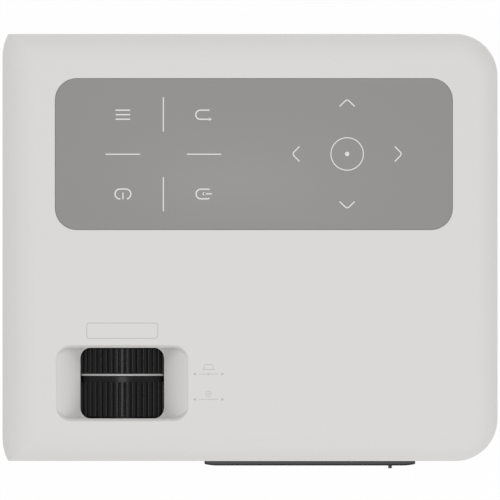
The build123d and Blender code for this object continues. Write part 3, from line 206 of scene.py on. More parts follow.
# turned brass inserts: fine turning marks and a soft yellow gloss
BRASS = surface("turned_brass", "#C8A45A", 0.3, metallic=1.0, grain=0.4, depth=0.003, stretch=(1, 1, 4),
                mottle=0.06)
# black-zinc plated screws: a smoky grey metal
SCREW = surface("black_zinc_screw", "#6C6D70", 0.4, metallic=1.0, grain=0.4, depth=0.003, mottle=0.08)
# silver-coated horn: near to a mirror
MIRROR = surface("silvered_mirror", "#DEE0E2", 0.1, metallic=1.0, grain=2, depth=0.001, mottle=0.01,
                 rough_spread=0.03)
# moulded epoxy of chips and coils: matt and faintly speckled
EPOXY = surface("moulded_epoxy", "#242426", 0.55, grain=0.3, depth=0.004, mottle=0.08, mottle_size=8)
# pressed paper cone: dull, with its fibres showing
PAPER = surface("pressed_paper", "#2E2E30", 0.85, grain=0.7, depth=0.03, mottle=0.15, mottle_size=3)
# moulded rubber: matt and slightly dusty
RUBBER = surface("moulded_rubber", "#2B2B2C", 0.8, grain=0.5, depth=0.01, mottle=0.1, mottle_size=6)
# cast acrylic sheets of the light path: clear and smooth
ACRYLIC = surface("clear_acrylic", "#F2F5F6", 0.06, grain=3, depth=0.0005, mottle=0.005, rough_spread=0.02,
                  IOR=1.49, Transmission_Weight=1.0)
# coated optical glass: a magenta and green bloom comes from the thin film
GLASS = surface("coated_glass", "#F4F7F8", 0.03, grain=6, depth=0.0002, mottle=0.003, rough_spread=0.02,
                IOR=1.62, Transmission_Weight=1.0, Thin_Film_Thickness=340.0, Thin_Film_IOR=1.38)
# infrared-clear polycarbonate: deep red, nearly black, with a clear gloss
INFRARED = surface("infrared_polycarbonate", "#3A0A12", 0.12, grain=2, depth=0.0005, rough_spread=0.03,
                   IOR=1.58, Transmission_Weight=0.3)


def circuit_board_finish():
    """Solder resist over copper: darker green between raised tracks and pale pads."""
    material = surface("solder_resist", "#1F6B43", 0.3, grain=1.0, depth=0.002, mottle=0.05, IOR=1.55)
    tree = material.node_tree
    place = add(tree, "ShaderNodeTexCoord").outputs["Object"]
    tracks = add(tree, "ShaderNodeTexBrick", {
        "Scale": 1 / (9 * MM), "Mortar Size": 0.055, "Mortar Smooth": 0.2, "Brick Width": 1.7,
        "Row Height": 0.3, "Color1": (0, 0, 0, 1), "Color2": (0.12, 0.12, 0.12, 1), "Mortar": (1, 1, 1, 1),
        "Vector": place})
    overlaid(material, tracks.outputs["Color"], "#3B9A63")
    return material


def liquid_crystal_finish():
    """Dark polarised glass with its grid of picture elements, drawn coarser than real, so that it shows."""
    material = surface("liquid_crystal_glass", "#20242B", 0.12, grain=2, depth=0.0005, rough_spread=0.03,
                       IOR=1.52)
    tree = material.node_tree
    place = add(tree, "ShaderNodeTexCoord").outputs["Object"]
    turned_up = add(tree, "ShaderNodeMapping", {"Rotation": (pi / 2, 0, 0), "Vector": place})
    grid = add(tree, "ShaderNodeTexBrick", {
        "Scale": 1 / (1.6 * MM), "offset": 0.0, "Mortar Size": 0.03, "Brick Width": 1.0, "Row Height": 1.0,
        "Color1": (0, 0, 0, 1), "Color2": (0, 0, 0, 1), "Mortar": (1, 1, 1, 1), "Vector": turned_up})
    overlaid(material, grid.outputs["Color"], "#11141A")
    return material


RESIST = circuit_board_finish()
LIQUID_CRYSTAL = liquid_crystal_finish()

# each finish, the record's material slot that it belongs to, and the CAD nodes that wear it
WORN = (
    (SHELL, "shell_white", ("top_cover", "bottom_housing")),
    (GRILLE, "grille_grey", ("side_grilles",)),
    (PANEL, "panel_grey", ("control_panel",)),
    (PALE_INK, "shell_white", ()),
    (GREY_INK, "grille_grey", ()),
    (RING_BLACK, "ring_black", ("focus_ring", "keystone_ring")),
    (TRIM, "trim_silver", ("ring_trim",)),
    (BLACK, "black_plastic", (
        "lens_port", "rear_plate", "lens_tube", "lens_barrel", "engine_housing", "lcd_frame",
        "lamp_fan_frame", "lamp_fan_rotor", "panel_fan_frame", "panel_fan_rotor", "foot_screw")),
    (GLOSS_BLACK, "bezel_black", ("tray_bezel", "eject_button")),
    (TRAY_GREY, "tray_plastic", ("disc_tray", "tray_rails", "spindle_hub")),
    (STEEL, "sheet_steel", (
        "engine_lid", "drive_chassis", "drive_lid", "drive_bracket", "mechanism_plate", "hdmi_sockets",
        "usb_sockets")),
    (ALUMINIUM, "cast_aluminium", ("lamp_heatsink", "processor_heatsink")),
    (GROUND_STEEL, "rod_steel", ("guide_rods", "lead_screw", "sled_motor", "spindle_motor")),
    (COPPER, "copper", ("lamp_module",)),
    (BRASS, "brass", ("threaded_inserts",)),
    (SCREW, "screw_steel", ("case_screws", "inner_screws")),
    (MIRROR, "reflector_silver", ("reflector",)),
    (EPOXY, "component_black", (
        "audio_jacks", "power_inlet", "board_components", "speaker_frames", "pickup_sled")),
    (PAPER, "cone_paper", ("speaker_cones",)),
    (RUBBER, "rubber", ("rubber_feet", "foot_pad")),
    (ACRYLIC, "acrylic", ("fresnel_front", "fresnel_rear", "polariser_glass")),
    (GLASS, "optical_glass", ("front_lens", "rear_lens")),
    (INFRARED, "dark_window", ("ir_window",)),
    (RESIST, "circuit_green", ("touch_board", "drive_board", "main_board", "power_board")),
    (LIQUID_CRYSTAL, "liquid_crystal", ("lcd_panel",)),
)
for finish, _, names in WORN:
    for name in names:
        worn = nodes[name].data.materials
        for index in range(len(worn)):
            worn[index] = finish


# ---------------------------------------------------------------- points and outlines
def mm(*points):
    """Points given in millimetres."""
    return [tuple(value * MM for value in point) for point in points]


def arc(centre, radius, start, end, steps=12):
    """Points of an arc; angles in degrees, anticlockwise from +X."""
    turns = [radians(start + (end - start) * i / steps) for i in range(steps + 1)]
    return [centre + Vector((radius * cos(t), radius * sin(t))) for t in turns]


def oval(across, along, start, end, step):
    """Points of an oval round the origin; angles in degrees, anticlockwise from +X."""
    return [(across * cos(radians(t)), along * sin(radians(t))) for t in range(start, end + 1, step)]


def dome(radius, tip, rise):
    """Profile of a shallow dome, from its tip on the axis to its rim."""
    return [(radius * sin(radians(t)), tip + rise * (1 - cos(radians(t)))) for t in range(0, 91, 10)]


def rounded_outline(low, high, radius, steps=10):
    """Anticlockwise outline of a rectangle with round corners."""
    corners = (((high.x, low.y), -90), ((high.x, high.y), 0), ((low.x, high.y), 90), ((low.x, low.y), 180))
    points = []
    for (x, y), start in corners:
        inward = Vector((low.x + high.x - 2 * x, low.y + high.y - 2 * y))
        centre = Vector((x + radius * (1 if inward.x > 0 else -1), y + radius * (1 if inward.y > 0 else -1)))
        points += arc(centre, radius, start, start + 90, steps)
    return points


# ---------------------------------------------------------------- mesh makers
def skin(target, rows, ends=True):
    """Faces between neighbouring rows of points; a face closes each end, or the last row meets the first."""
    rows = [[target.verts.new(point) for point in row] for row in rows]
    for here, there in zip(rows, rows[1:] if ends else rows[1:] + rows[:1]):
        for i in range(len(here)):
            j = (i + 1) % len(here)
            target.faces.new((here[i], here[j], there[j], there[i]))
    if ends:
        target.faces.new(rows[0][::-1])
        target.faces.new(rows[-1])


def plate(target, *outlines):
    """Flat piece skinned upwards through outlines given with their heights."""
    skin(target, [[(p.x, p.y, height) for p in outline] for outline, height in outlines])


def prism_y(target, outline, y0, y1):
    """Bar of an XZ outline between two places along Y."""
    skin(target, [[(p.x, y, p.y) for p in outline] for y in (y1, y0)])


def box_bar(target, x0, x1, y0, y1, z0, z1):
    """Plain square-edged bar."""
    prism_y(target, [Vector((x0, z0)), Vector((x1, z0)), Vector((x1, z1)), Vector((x0, z1))], y0, y1)


def lathe(target, profile, centre, axis="Y", steps=96):
    """Turned piece: closed profile of (radius, place along the axis) round an axis through centre."""
    rings = []
    for step in range(steps):
        turn = 2 * pi * step / steps
        ring = []
        for radius, along in profile:
            a, b = radius * cos(turn), radius * sin(turn)
            ring.append(centre + Vector({"X": (along, a, b), "Y": (a, along, b), "Z": (a, b, along)}[axis]))
        rings.append(ring)
    skin(target, rings, ends=False)


def ribbon(target, points, width, low, high, closed=False):
    """Flat printed line of even width along points in the XY plane, with mitred corners."""
    count = len(points)
    left, right = [], []
    for index, point in enumerate(points):
        before = points[index - 1] if index > 0 or closed else None
        after = points[(index + 1) % count] if index < count - 1 or closed else None
        pairs = ((before, point), (point, after))
        ways = [(b - a).normalized() for a, b in pairs if a is not None and b is not None]
        along = sum(ways, Vector((0, 0))).normalized()
        side = Vector((-along.y, along.x))
        reach = width / 2 / max(0.5, side.dot(Vector((-ways[0].y, ways[0].x))))
        left.append(point + side * reach)
        right.append(point - side * reach)
    rows = [[target.verts.new((p.x, p.y, z)) for p in row] for row in (left, right) for z in (high, low)]
    for i in range(count if closed else count - 1):
        j = (i + 1) % count
        for a, b in ((0, 2), (2, 3), (3, 1), (1, 0)):
            target.faces.new((rows[a][i], rows[a][j], rows[b][j], rows[b][i]))
    if not closed:
        for i in (0, -1):
            target.faces.new([rows[k][i] for k in (0, 1, 3, 2)])


def threaded(target, x, y, z, axis, root, crest, pitch, length, steps, rows):
    """Round bar with a true screw thread along its axis; x, y, z is the start of the bar."""
    count = int(length / pitch * rows)
    rings = []
    for row in range(count + 1):
        along = length * row / count
        fade = min(1.0, along / pitch, (length - along) / pitch)
        ring = []
        for step in range(steps):
            turn = 2 * pi * step / steps
            phase = (along / pitch - step / steps) % 1.0
            radius = root + (crest - root) * fade * max(0.0, 1 - abs(2 * phase - 1) * 1.25)
            a, b = radius * cos(turn), radius * sin(turn)
            ring.append((x + a, y + along, z - b) if axis == "Y" else (x + a, y + b, z + along))
        rings.append(ring)
    skin(target, rings)


# ---------------------------------------------------------------- finished pieces
def object_of(name, mesh_source):
    """Plain object of a bmesh, which it uses up."""
    mesh = bpy.data.meshes.new(name)
    mesh_source.to_mesh(mesh)
    mesh_source.free()
    made = bpy.data.objects.new(name, mesh)
    bpy.context.scene.collection.objects.link(made)
    return made


def solid_piece(name, mesh_source, finish, body, *stands_for, sharp=35.0):
    """Object of a finished bmesh: outward normals, smooth faces with sharp edges kept, riding on its body."""
    bmesh.ops.remove_doubles(mesh_source, verts=mesh_source.verts, dist=1e-7)
    bmesh.ops.recalc_face_normals(mesh_source, faces=mesh_source.faces)
    piece = object_of(name, mesh_source)
    piece.data.materials.append(finish)
    piece.data.shade_smooth()
    piece.data.set_sharp_from_angle(angle=radians(sharp))
    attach(piece, body)
    if stands_for:
        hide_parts(*stands_for)
    return piece


def settled(shaped, *helpers):
    """The object's evaluated shape as a bmesh; the object and its helpers are removed."""
    result = bpy.data.meshes.new_from_object(shaped.evaluated_get(bpy.context.evaluated_depsgraph_get()))
    for used in (shaped, *helpers):
        bpy.data.objects.remove(used)
    loose = bmesh.new()
    loose.from_mesh(result)
    bpy.data.meshes.remove(result)
    return loose


def carved(body, *cutters):
    """The body with every cutter's shape taken out of it."""
    kept = object_of("kept", body)
    tools = [object_of("tool", cutter) for cutter in cutters]
    for tool in tools:
        cut = kept.modifiers.new("cut", "BOOLEAN")
        cut.operation = "DIFFERENCE"
        cut.solver = "EXACT"
        cut.object = tool
    return settled(kept, *tools)


def softened(node, finish):
    """Copy of a CAD node with every sharp edge broken by a small round, as moulding and folding leave it."""
    copy = bmesh.new()
    copy.from_mesh(nodes[node].data)
    bmesh.ops.remove_doubles(copy, verts=copy.verts, dist=2e-6)
    bmesh.ops.dissolve_limit(copy, angle_limit=radians(1.0), verts=copy.verts, edges=copy.edges)
    shaped = object_of(node + "_soft", copy)
    edge = shaped.modifiers.new("edge", "BEVEL")
    edge.limit_method = "ANGLE"
    edge.angle_limit = radians(40)
    edge.width = 0.25 * MM
    edge.segments = 2
    edge.harden_normals = False
    solid_piece(node + "_finished", settled(shaped), finish, BODY_OF[node], node, sharp=30)


def turned(name, profile, centre, axis, finish, body, *stands_for, steps=96, sharp=30.0):
    """Turned piece of one closed profile."""
    shape = bmesh.new()
    lathe(shape, profile, centre, axis, steps)
    solid_piece(name, shape, finish, body, *stands_for, sharp=sharp)


# ---------------------------------------------------------------- geometry-node trees
def tree_of(name, inputs):
    """Empty tree with a geometry input and named inputs; returns it with their sockets and its end."""
    tree = bpy.data.node_groups.new(name, "GeometryNodeTree")
    tree.interface.new_socket("Geometry", in_out="INPUT", socket_type="NodeSocketGeometry")
    for label, kind in inputs.items():
        tree.interface.new_socket(label, in_out="INPUT", socket_type="NodeSocket" + kind)
    tree.interface.new_socket("Geometry", in_out="OUTPUT", socket_type="NodeSocketGeometry")
    return tree, add(tree, "NodeGroupInput").outputs, add(tree, "NodeGroupOutput")


def close_tree(tree, end, geometry, finish):
    """The last nodes of every tree: real copies, one finish."""
    real = add(tree, "GeometryNodeRealizeInstances", {"Geometry": geometry})
    painted = add(tree, "GeometryNodeSetMaterial", {"Geometry": real, "Material": finish})
    tree.links.new(painted.outputs[0], end.inputs[0])


def grown(name, source, tree, values, finish, body, *stands_for, sharp=35.0):
    """Runs a tree on a mesh and returns the result as one plain mesh piece."""
    base = object_of(name + "_base", source)
    modifier = base.modifiers.new("shape", "NODES")
    modifier.node_group = tree
    for item in tree.interface.items_tree:
        if item.in_out == "INPUT" and item.name in values:
            modifier[item.identifier] = values[item.name]
    return solid_piece(name, settled(base), finish, body, *stands_for, sharp=sharp)


def spread_tree():
    """Copies of one shape, set on a line by Step or turned round Centre by Turn."""
    tree, given, end = tree_of("spread", {
        "Count": "Int", "Step": "Vector", "Centre": "Vector", "Turn": "Vector", "Finish": "Material"})
    back = add(tree, "ShaderNodeVectorMath", {"operation": "SCALE", 0: given["Centre"], "Scale": -1.0})
    centred = add(tree, "GeometryNodeTransform", {"Geometry": given["Geometry"], "Translation": back})
    stations = add(tree, "GeometryNodeMeshLine", {
        "mode": "OFFSET", "Count": given["Count"], "Start Location": given["Centre"],
        "Offset": given["Step"]})
    number = add(tree, "GeometryNodeInputIndex")
    share = add(tree, "ShaderNodeMath", {"operation": "DIVIDE", 0: number, 1: given["Count"]})
    angle = add(tree, "ShaderNodeVectorMath", {"operation": "SCALE", 0: given["Turn"], "Scale": share})
    copies = add(tree, "GeometryNodeInstanceOnPoints", {
        "Points": stations, "Instance": centred, "Rotation": angle})
    close_tree(tree, end, copies, given["Finish"])
    return tree


SPREAD = spread_tree()
ONCE_ROUND = {"X": (2 * pi, 0, 0), "Y": (0, 2 * pi, 0), "Z": (0, 0, 2 * pi)}


def in_line(name, shape, count, step, finish, body):
    """Row of equal shapes."""
    grown(name, shape, SPREAD, {"Count": count, "Step": step, "Finish": finish}, finish, body)


def in_round(name, shape, count, centre, axis, finish, body, sharp):
    """Ring of equal shapes about an axis through centre."""
    values = {"Count": count, "Centre": tuple(centre), "Turn": ONCE_ROUND[axis], "Finish": finish}
    grown(name, shape, SPREAD, values, finish, body, sharp=sharp)


# ---------------------------------------------------------------- control panel and printed marks
PANEL_LOW, PANEL_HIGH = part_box("control_panel")


def touch_panel():
    """Acrylic sheet with a softened rim, its face a hair below the printed symbols."""
    corner, ink_rise = 13.1 * MM, 0.03 * MM
    face = PANEL_HIGH.z - ink_rise
    rims = ((0.0, PANEL_LOW.z), (0.0, face - 0.3 * MM), (0.1 * MM, face - 0.09 * MM), (0.3 * MM, face))
    outlines = []
    for inset, height in rims:
        margin = Vector((inset, inset))
        outline = rounded_outline(PANEL_LOW.xy + margin, PANEL_HIGH.xy - margin, corner - inset, 16)
        outlines.append((outline, height))
    sheet = bmesh.new()
    plate(sheet, *outlines)
    solid_piece("touch_panel", sheet, PANEL, "casing", "control_panel", sharp=50)


def bend(start, corner, end, share=0.28, steps=8):
    """Two straight strokes that meet in a small round bend."""
    first, last = corner.lerp(start, share), corner.lerp(end, share)
    shares = [step / steps for step in range(steps + 1)]
    curve = [first.lerp(corner, t).lerp(corner.lerp(last, t), t) for t in shares]
    return [start, *curve, end]


def panel_symbols():
    """Printed symbols: four commands, their dividers, four arrows and the confirm ring."""
    ink = bmesh.new()
    low, high = PANEL_HIGH.z - 0.1 * MM, PANEL_HIGH.z

    def stroke(points, width=0.8 * MM, closed=False):
        ribbon(ink, points, width, low, high, closed)

    def field(outline):
        plate(ink, (outline, low), (outline, high))

    # menu: three bars; places and sizes of all symbols are in pixels of the photograph
    menu_left, menu_right, menu_middle, menu_pitch = 115.8, 130.4, 114.9, 4.5
    for row in (-1, 0, 1):
        y = menu_middle + row * menu_pitch
        stroke([spot(menu_left, y), spot(menu_right, y)])

    # dividers: a short line between each two commands
    divider_x, divider_y, divider = 163.5, 154.4, 0.7 * MM
    for start, end in ((97.5, 131.9), (177.2, 211.4)):
        stroke([spot(divider_x, start), spot(divider_x, end)], divider)
    for start, end in ((105.9, 140.3), (187.0, 221.3)):
        stroke([spot(start, divider_y), spot(end, divider_y)], divider)

    # back: an open loop that ends in an arrow
    loop_x, loop_y, loop = 200.4, 114.95, 4.55
    upper_end, lower_end = 209.7, 209.3
    head_base, head_tip, head_half = 209.0, 212.2, 1.7
    foot = loop_y + loop
    stroke([spot(upper_end, loop_y - loop), *arc(spot(loop_x, loop_y), loop * PIXEL, 90, 270, 16),
            spot(lower_end, foot)])
    field([spot(head_base, foot - head_half), spot(head_base, foot + head_half), spot(head_tip, foot)])

    # power: a rounded ring that is open below, with its bar
    ring_left, ring_right, ring_y, ring = 120.2, 126.1, 194.1, 4.95
    mouth_x, mouth_y = 120.6, 199.0
    bar_x, bar_top, bar_foot = 123.15, 192.7, 199.4
    stroke([spot(mouth_x, mouth_y), *arc(spot(ring_left, ring_y), ring * PIXEL, 260, 90, 16),
            *arc(spot(ring_right, ring_y), ring * PIXEL, 90, -80, 16)])
    stroke([spot(bar_x, bar_top), spot(bar_x, bar_foot)])

    # source: a loop open to the right, with a plug in it
    socket_x, socket_y, socket = 201.0, 194.1, 4.85
    lips = ((209.7, 4.3), (208.3, 4.8))
    plug_x, plug_y, plug_end, plug = 204.1, 193.9, 212.0, 1.5
    upper = [spot(x, socket_y - rise) for x, rise in lips]
    lower = [spot(x, socket_y + rise) for x, rise in reversed(lips)]
    stroke([*upper, *arc(spot(socket_x, socket_y), socket * PIXEL, 90, 270, 16), *lower])
    stroke([spot(plug_x, plug_y), spot(plug_end, plug_y)])
    field(arc(spot(plug_x, plug_y), plug * PIXEL, 0, 360, 24)[:-1])

    # arrows round the confirm ring
    confirm_x, confirm_y, confirm, middle_dot = 347.0, 154.1, 16.2, 2.2
    reaches, arm_deep, arm_wide = (54.9, 54.8), 7.3, 7.5
    centre = spot(confirm_x, confirm_y)
    for turn in range(4):
        way = Vector((cos(turn * pi / 2), sin(turn * pi / 2)))
        side = Vector((-way.y, way.x))
        tip = centre + way * reaches[turn % 2] * PIXEL
        start, end = (tip - way * arm_deep * PIXEL + side * s * arm_wide * PIXEL for s in (-1, 1))
        stroke(bend(start, tip, end), 0.72 * MM)
    stroke(arc(centre, confirm * PIXEL, 0, 360, 72)[:-1], 0.62 * MM, closed=True)
    field(arc(centre, middle_dot * PIXEL, 0, 360, 24)[:-1])
    solid_piece("panel_symbols", ink, PALE_INK, "casing", sharp=30)


def setting_marks():
    """Faint printed frame and the pointers beside the two rings, on the flat of the cover."""
    ink = bmesh.new()
    low, high = TOP - 0.1 * MM, TOP + 0.015 * MM
    frame_width, line_width, sign_width = 0.42 * MM, 0.3 * MM, 0.32 * MM

    def field(outline):
        plate(ink, (outline, low), (outline, high))

    # places and sizes in pixels of the photograph
    frame_left, frame_right, frame_top, frame_foot, frame_corner = 87.0, 158.0, 322.9, 338.2, 2.6
    left, middle, right = 194.8, 208.6, 222.5
    head, head_base, gap = 1.6, 1.1, 4
    edge = rounded_outline(
        spot(frame_left, frame_foot), spot(frame_right, frame_top), frame_corner * PIXEL, steps=6)
    ribbon(ink, edge, frame_width, low, high, closed=True)
    for row, tick in ((373.8, 1.2), (399.2, 0.0)):
        for x, way in ((left, -1), (right, 1)):
            base = x - way * head_base
            field([spot(base, row - head), spot(base, row + head), spot(x + way * head, row)][::-way])
        ribbon(ink, [spot(left + gap, row), spot(right - gap, row)], line_width, low, high)
        if tick:
            ribbon(ink, [spot(middle, row - tick), spot(middle, row + tick)], line_width, low, high)

    # pictograms: a leaning frame over the first pointer, a lens over the second
    lean_foot, lean_top, lean_wide, lean_narrow = 369.4, 364.4, 5.4, 3.6
    lens_y, lens, lens_dot = 393.6, 2.6, 0.8
    lean = [spot(middle - lean_wide, lean_foot), spot(middle + lean_wide, lean_foot),
            spot(middle + lean_narrow, lean_top), spot(middle - lean_narrow, lean_top)]
    ribbon(ink, lean, sign_width, low, high, closed=True)
    ribbon(ink, arc(spot(middle, lens_y), lens * PIXEL, 0, 360, 24)[:-1], sign_width, low, high, closed=True)
    field(arc(spot(middle, lens_y), lens_dot * PIXEL, 0, 360, 12)[:-1])
    solid_piece("setting_marks", ink, GREY_INK, "casing", sharp=30)


# ---------------------------------------------------------------- lens
RING_BORE = 30.2 * MM
RIB_HEIGHT = 0.85 * MM


def ribbed_ring_tree():
    """Ribs round a sleeve about +Y: each is a long bar, flat on top, with flanks that flare to its foot."""
    tree, given, end = tree_of("ribbed_ring", {
        "Ribs": "Int", "Radius": "Float", "Rib Width": "Float", "Rib Height": "Float", "Flare": "Float",
        "Length": "Float", "Centre": "Vector"})
    tall = add(tree, "ShaderNodeMath", {"operation": "MULTIPLY", 0: given["Rib Height"], 1: 2.0})
    size = add(tree, "ShaderNodeCombineXYZ", {"X": given["Rib Width"], "Y": given["Length"], "Z": tall})
    bar = add(tree, "GeometryNodeMeshCube", {"Vertices X": 9, "Vertices Y": 2, "Vertices Z": 2, "Size": size})
    # crown: the bar's top is flat in the middle and rounds down steeply at its edges
    where = add(tree, "GeometryNodeInputPosition")
    place = add(tree, "ShaderNodeSeparateXYZ", {"Vector": where}).outputs
    half = add(tree, "ShaderNodeMath", {"operation": "MULTIPLY", 0: given["Rib Width"], 1: 0.5})
    share = add(tree, "ShaderNodeMath", {"operation": "DIVIDE", 0: place["X"], 1: half})
    squared = add(tree, "ShaderNodeMath", {"operation": "MULTIPLY", 0: share, 1: share})
    steep = add(tree, "ShaderNodeMath", {"operation": "POWER", 0: squared, 1: 3.0})
    drop = add(tree, "ShaderNodeMath", {"operation": "MULTIPLY", 0: steep, 1: -0.45})
    depth = add(tree, "ShaderNodeMath", {"operation": "MULTIPLY", 0: drop, 1: given["Rib Height"]})
    shift = add(tree, "ShaderNodeCombineXYZ", {"Z": depth})
    upper = add(tree, "FunctionNodeCompare", {
        "data_type": "FLOAT", "operation": "GREATER_THAN", 0: place["Z"], 1: 0.0})
    crowned = add(tree, "GeometryNodeSetPosition", {"Geometry": bar, "Selection": upper, "Offset": shift})
    # foot: the bar's lower edges stand further out
    wider = add(tree, "ShaderNodeMath", {"operation": "MULTIPLY", 0: place["X"], 1: given["Flare"]})
    outwards = add(tree, "ShaderNodeCombineXYZ", {"X": wider})
    lower = add(tree, "FunctionNodeCompare", {
        "data_type": "FLOAT", "operation": "LESS_THAN", 0: place["Z"], 1: 0.0})
    flared = add(tree, "GeometryNodeSetPosition", {
        "Geometry": crowned, "Selection": lower, "Offset": outwards})
    # stations round the axis, each turned so that the bar's Z points outwards
    stations = add(tree, "GeometryNodeMeshLine", {"mode": "OFFSET", "Count": given["Ribs"]})
    number = add(tree, "GeometryNodeInputIndex")
    part = add(tree, "ShaderNodeMath", {"operation": "DIVIDE", 0: number, 1: given["Ribs"]})
    turn = add(tree, "ShaderNodeMath", {"operation": "MULTIPLY", 0: part, 1: 2 * pi})
    across = add(tree, "ShaderNodeMath", {"operation": "SINE", 0: turn})
    upward = add(tree, "ShaderNodeMath", {"operation": "COSINE", 0: turn})
    outward = add(tree, "ShaderNodeCombineXYZ", {"X": across, "Z": upward})
    seat = add(tree, "ShaderNodeMath", {"operation": "SUBTRACT", 0: given["Radius"], 1: given["Rib Height"]})
    offset = add(tree, "ShaderNodeVectorMath", {"operation": "SCALE", 0: outward, "Scale": seat})
    seated = add(tree, "ShaderNodeVectorMath", {"operation": "ADD", 0: offset, 1: given["Centre"]})
    placed = add(tree, "GeometryNodeSetPosition", {"Geometry": stations, "Position": seated})
    lean = add(tree, "ShaderNodeCombineXYZ", {"Y": turn})
    ribs = add(tree, "GeometryNodeInstanceOnPoints", {"Points": placed, "Instance": flared, "Rotation": lean})
    whole = add(tree, "GeometryNodeJoinGeometry")
    for part_of_ring in (given["Geometry"], ribs.outputs[0]):
        tree.links.new(part_of_ring, whole.inputs[0])
    close_tree(tree, end, whole, RING_BLACK)
    return tree


def lens_rings():
    """Both ribbed rings: a softened sleeve each, with its ribs."""
    tree = ribbed_ring_tree()
    soft, smooth_band = 0.3 * MM, 3.4 * MM
    root = RING_RADIUS - RIB_HEIGHT
    for kind, smooth in (("focus", smooth_band), ("keystone", 0.0)):
        low, high = (corner.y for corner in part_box(f"{kind}_ring"))
        profile = [
            (RING_BORE, low + soft), (RING_BORE + soft, low), (root - soft, low), (root, low + soft),
            (root, high - soft), (root - soft, high), (RING_BORE + soft, high), (RING_BORE, high - soft)]
        sleeve = bmesh.new()
        lathe(sleeve, profile, AXIS, steps=192)
        length = high - low - smooth - soft
        middle = low + soft / 2 + length / 2
        values = {"Ribs": 69, "Radius": RING_RADIUS, "Rib Width": 2.7 * MM, "Rib Height": RIB_HEIGHT,
                  "Flare": 0.5, "Length": length, "Centre": (AXIS.x, middle, AXIS.z)}
        grown(f"{kind}_ring_ribbed", sleeve, tree, values, RING_BLACK, f"{kind}_control", f"{kind}_ring")


def trim_ring():
    """Bright ring between the two ribbed ones, with a rounded rim."""
    low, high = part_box("ring_trim")
    radius, soft = (high.x - low.x) / 2, 0.15 * MM
    profile = [(RING_BORE, low.y), *arc(Vector((radius - soft, low.y + soft)), soft, -90, 0, 6),
               *arc(Vector((radius - soft, high.y - soft)), soft, 0, 90, 6), (RING_BORE, high.y)]
    body = BODY_OF["ring_trim"]
    turned("bright_trim_ring", profile, AXIS, "Y", TRIM, body, "ring_trim", steps=192, sharp=40)


def lens_opening():
    """Port ring in the front wall, stepped inwards against stray light."""
    low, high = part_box("lens_port")
    radius = (high.x - low.x) / 2
    rim, lip = radius - 2.0 * MM, 0.25 * MM
    depth = high.y - low.y - lip
    taper, step_back, steps_in = 0.9 * MM, 0.22 * MM, 4
    profile = [(radius, high.y), (radius, low.y + 0.8 * MM), (radius - 0.25 * MM, low.y + 0.3 * MM),
               (radius - 0.8 * MM, low.y), (rim + 0.3 * MM, low.y), (rim, low.y + lip)]
    for index in range(steps_in):
        place = low.y + lip + depth * (index + 0.5) / steps_in
        inner = rim - taper * (index + 1) / steps_in
        profile += [(inner + step_back, place), (inner, place + 0.1 * MM)]
    profile += [(rim - taper, high.y)]
    turned("lens_port_ring", profile, AXIS, "Y", BLACK, BODY_OF["lens_port"], "lens_port", steps=160)


def barrel():
    """Sliding barrel: filter-thread grooves, the front lens's holding ring and matt baffles inside."""
    low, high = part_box("lens_barrel")
    radius, soft = (high.x - low.x) / 2, 0.5 * MM
    mouth, bore, rear = 22.55 * MM, 20.6 * MM, 22.0 * MM
    glass_rim, seat, bore_end = FRONT + 25.9 * MM, FRONT + 28.0 * MM, FRONT + 52 * MM
    grooves, groove_pitch = 6, 0.8 * MM
    baffles, baffle_pitch, baffle_depth = 9, 2.6 * MM, 0.5 * MM
    profile = [(radius, high.y), (radius, low.y + soft), (radius - soft, low.y), (mouth + 0.6 * MM, low.y)]
    for index in range(grooves):
        place = low.y + 0.6 * MM + groove_pitch * index
        profile += [(mouth + 0.05 * MM, place), (mouth + 0.35 * MM, place + groove_pitch / 2)]
    profile += [(mouth, low.y + 5.6 * MM), (mouth, glass_rim - 1.4 * MM),
                (mouth - 1.0 * MM, glass_rim - 1.2 * MM), (mouth - 1.6 * MM, glass_rim - 0.5 * MM),
                (mouth - 1.6 * MM, glass_rim), (mouth, glass_rim), (mouth, seat)]
    for index in range(baffles):
        place = seat + 0.3 * MM + baffle_pitch * index
        profile += [(bore, place), (bore + baffle_depth, place + 2.2 * MM)]
    profile += [(bore, bore_end), (rear, bore_end), (rear, high.y)]
    turned("lens_barrel_baffled", profile, AXIS, "Y", BLACK, "barrel", "lens_barrel", steps=128)


def infrared_eye():
    """Softly domed receiver window in its dark collar."""
    low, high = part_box("ir_window")
    radius = (high.x - low.x) / 2
    centre = Vector(((low.x + high.x) / 2, 0, (low.z + high.z) / 2))
    lens = radius - 0.6 * MM
    seat = lens + 0.03 * MM
    window = [*dome(lens, low.y, 0.5 * MM), (lens, high.y), (0, high.y)]
    turned("receiver_window", window, centre, "Y", INFRARED, COVER_BODY, "ir_window", steps=64)
    collar = [(seat, high.y), (seat, low.y + 0.3 * MM), (lens + 0.2 * MM, low.y + 0.05 * MM),
              (radius - 0.2 * MM, low.y), (radius, low.y + 0.2 * MM), (radius, high.y)]
    turned("receiver_collar", collar, centre, "Y", BLACK, COVER_BODY, steps=64)


# ---------------------------------------------------------------- disc tray's front and key
STRIP_LOW, STRIP_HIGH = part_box("tray_bezel")
KEY_LOW, KEY_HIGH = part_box("eject_button")
KEY_X, KEY_Z = (KEY_LOW.x + KEY_HIGH.x) / 2, (KEY_LOW.z + KEY_HIGH.z) / 2


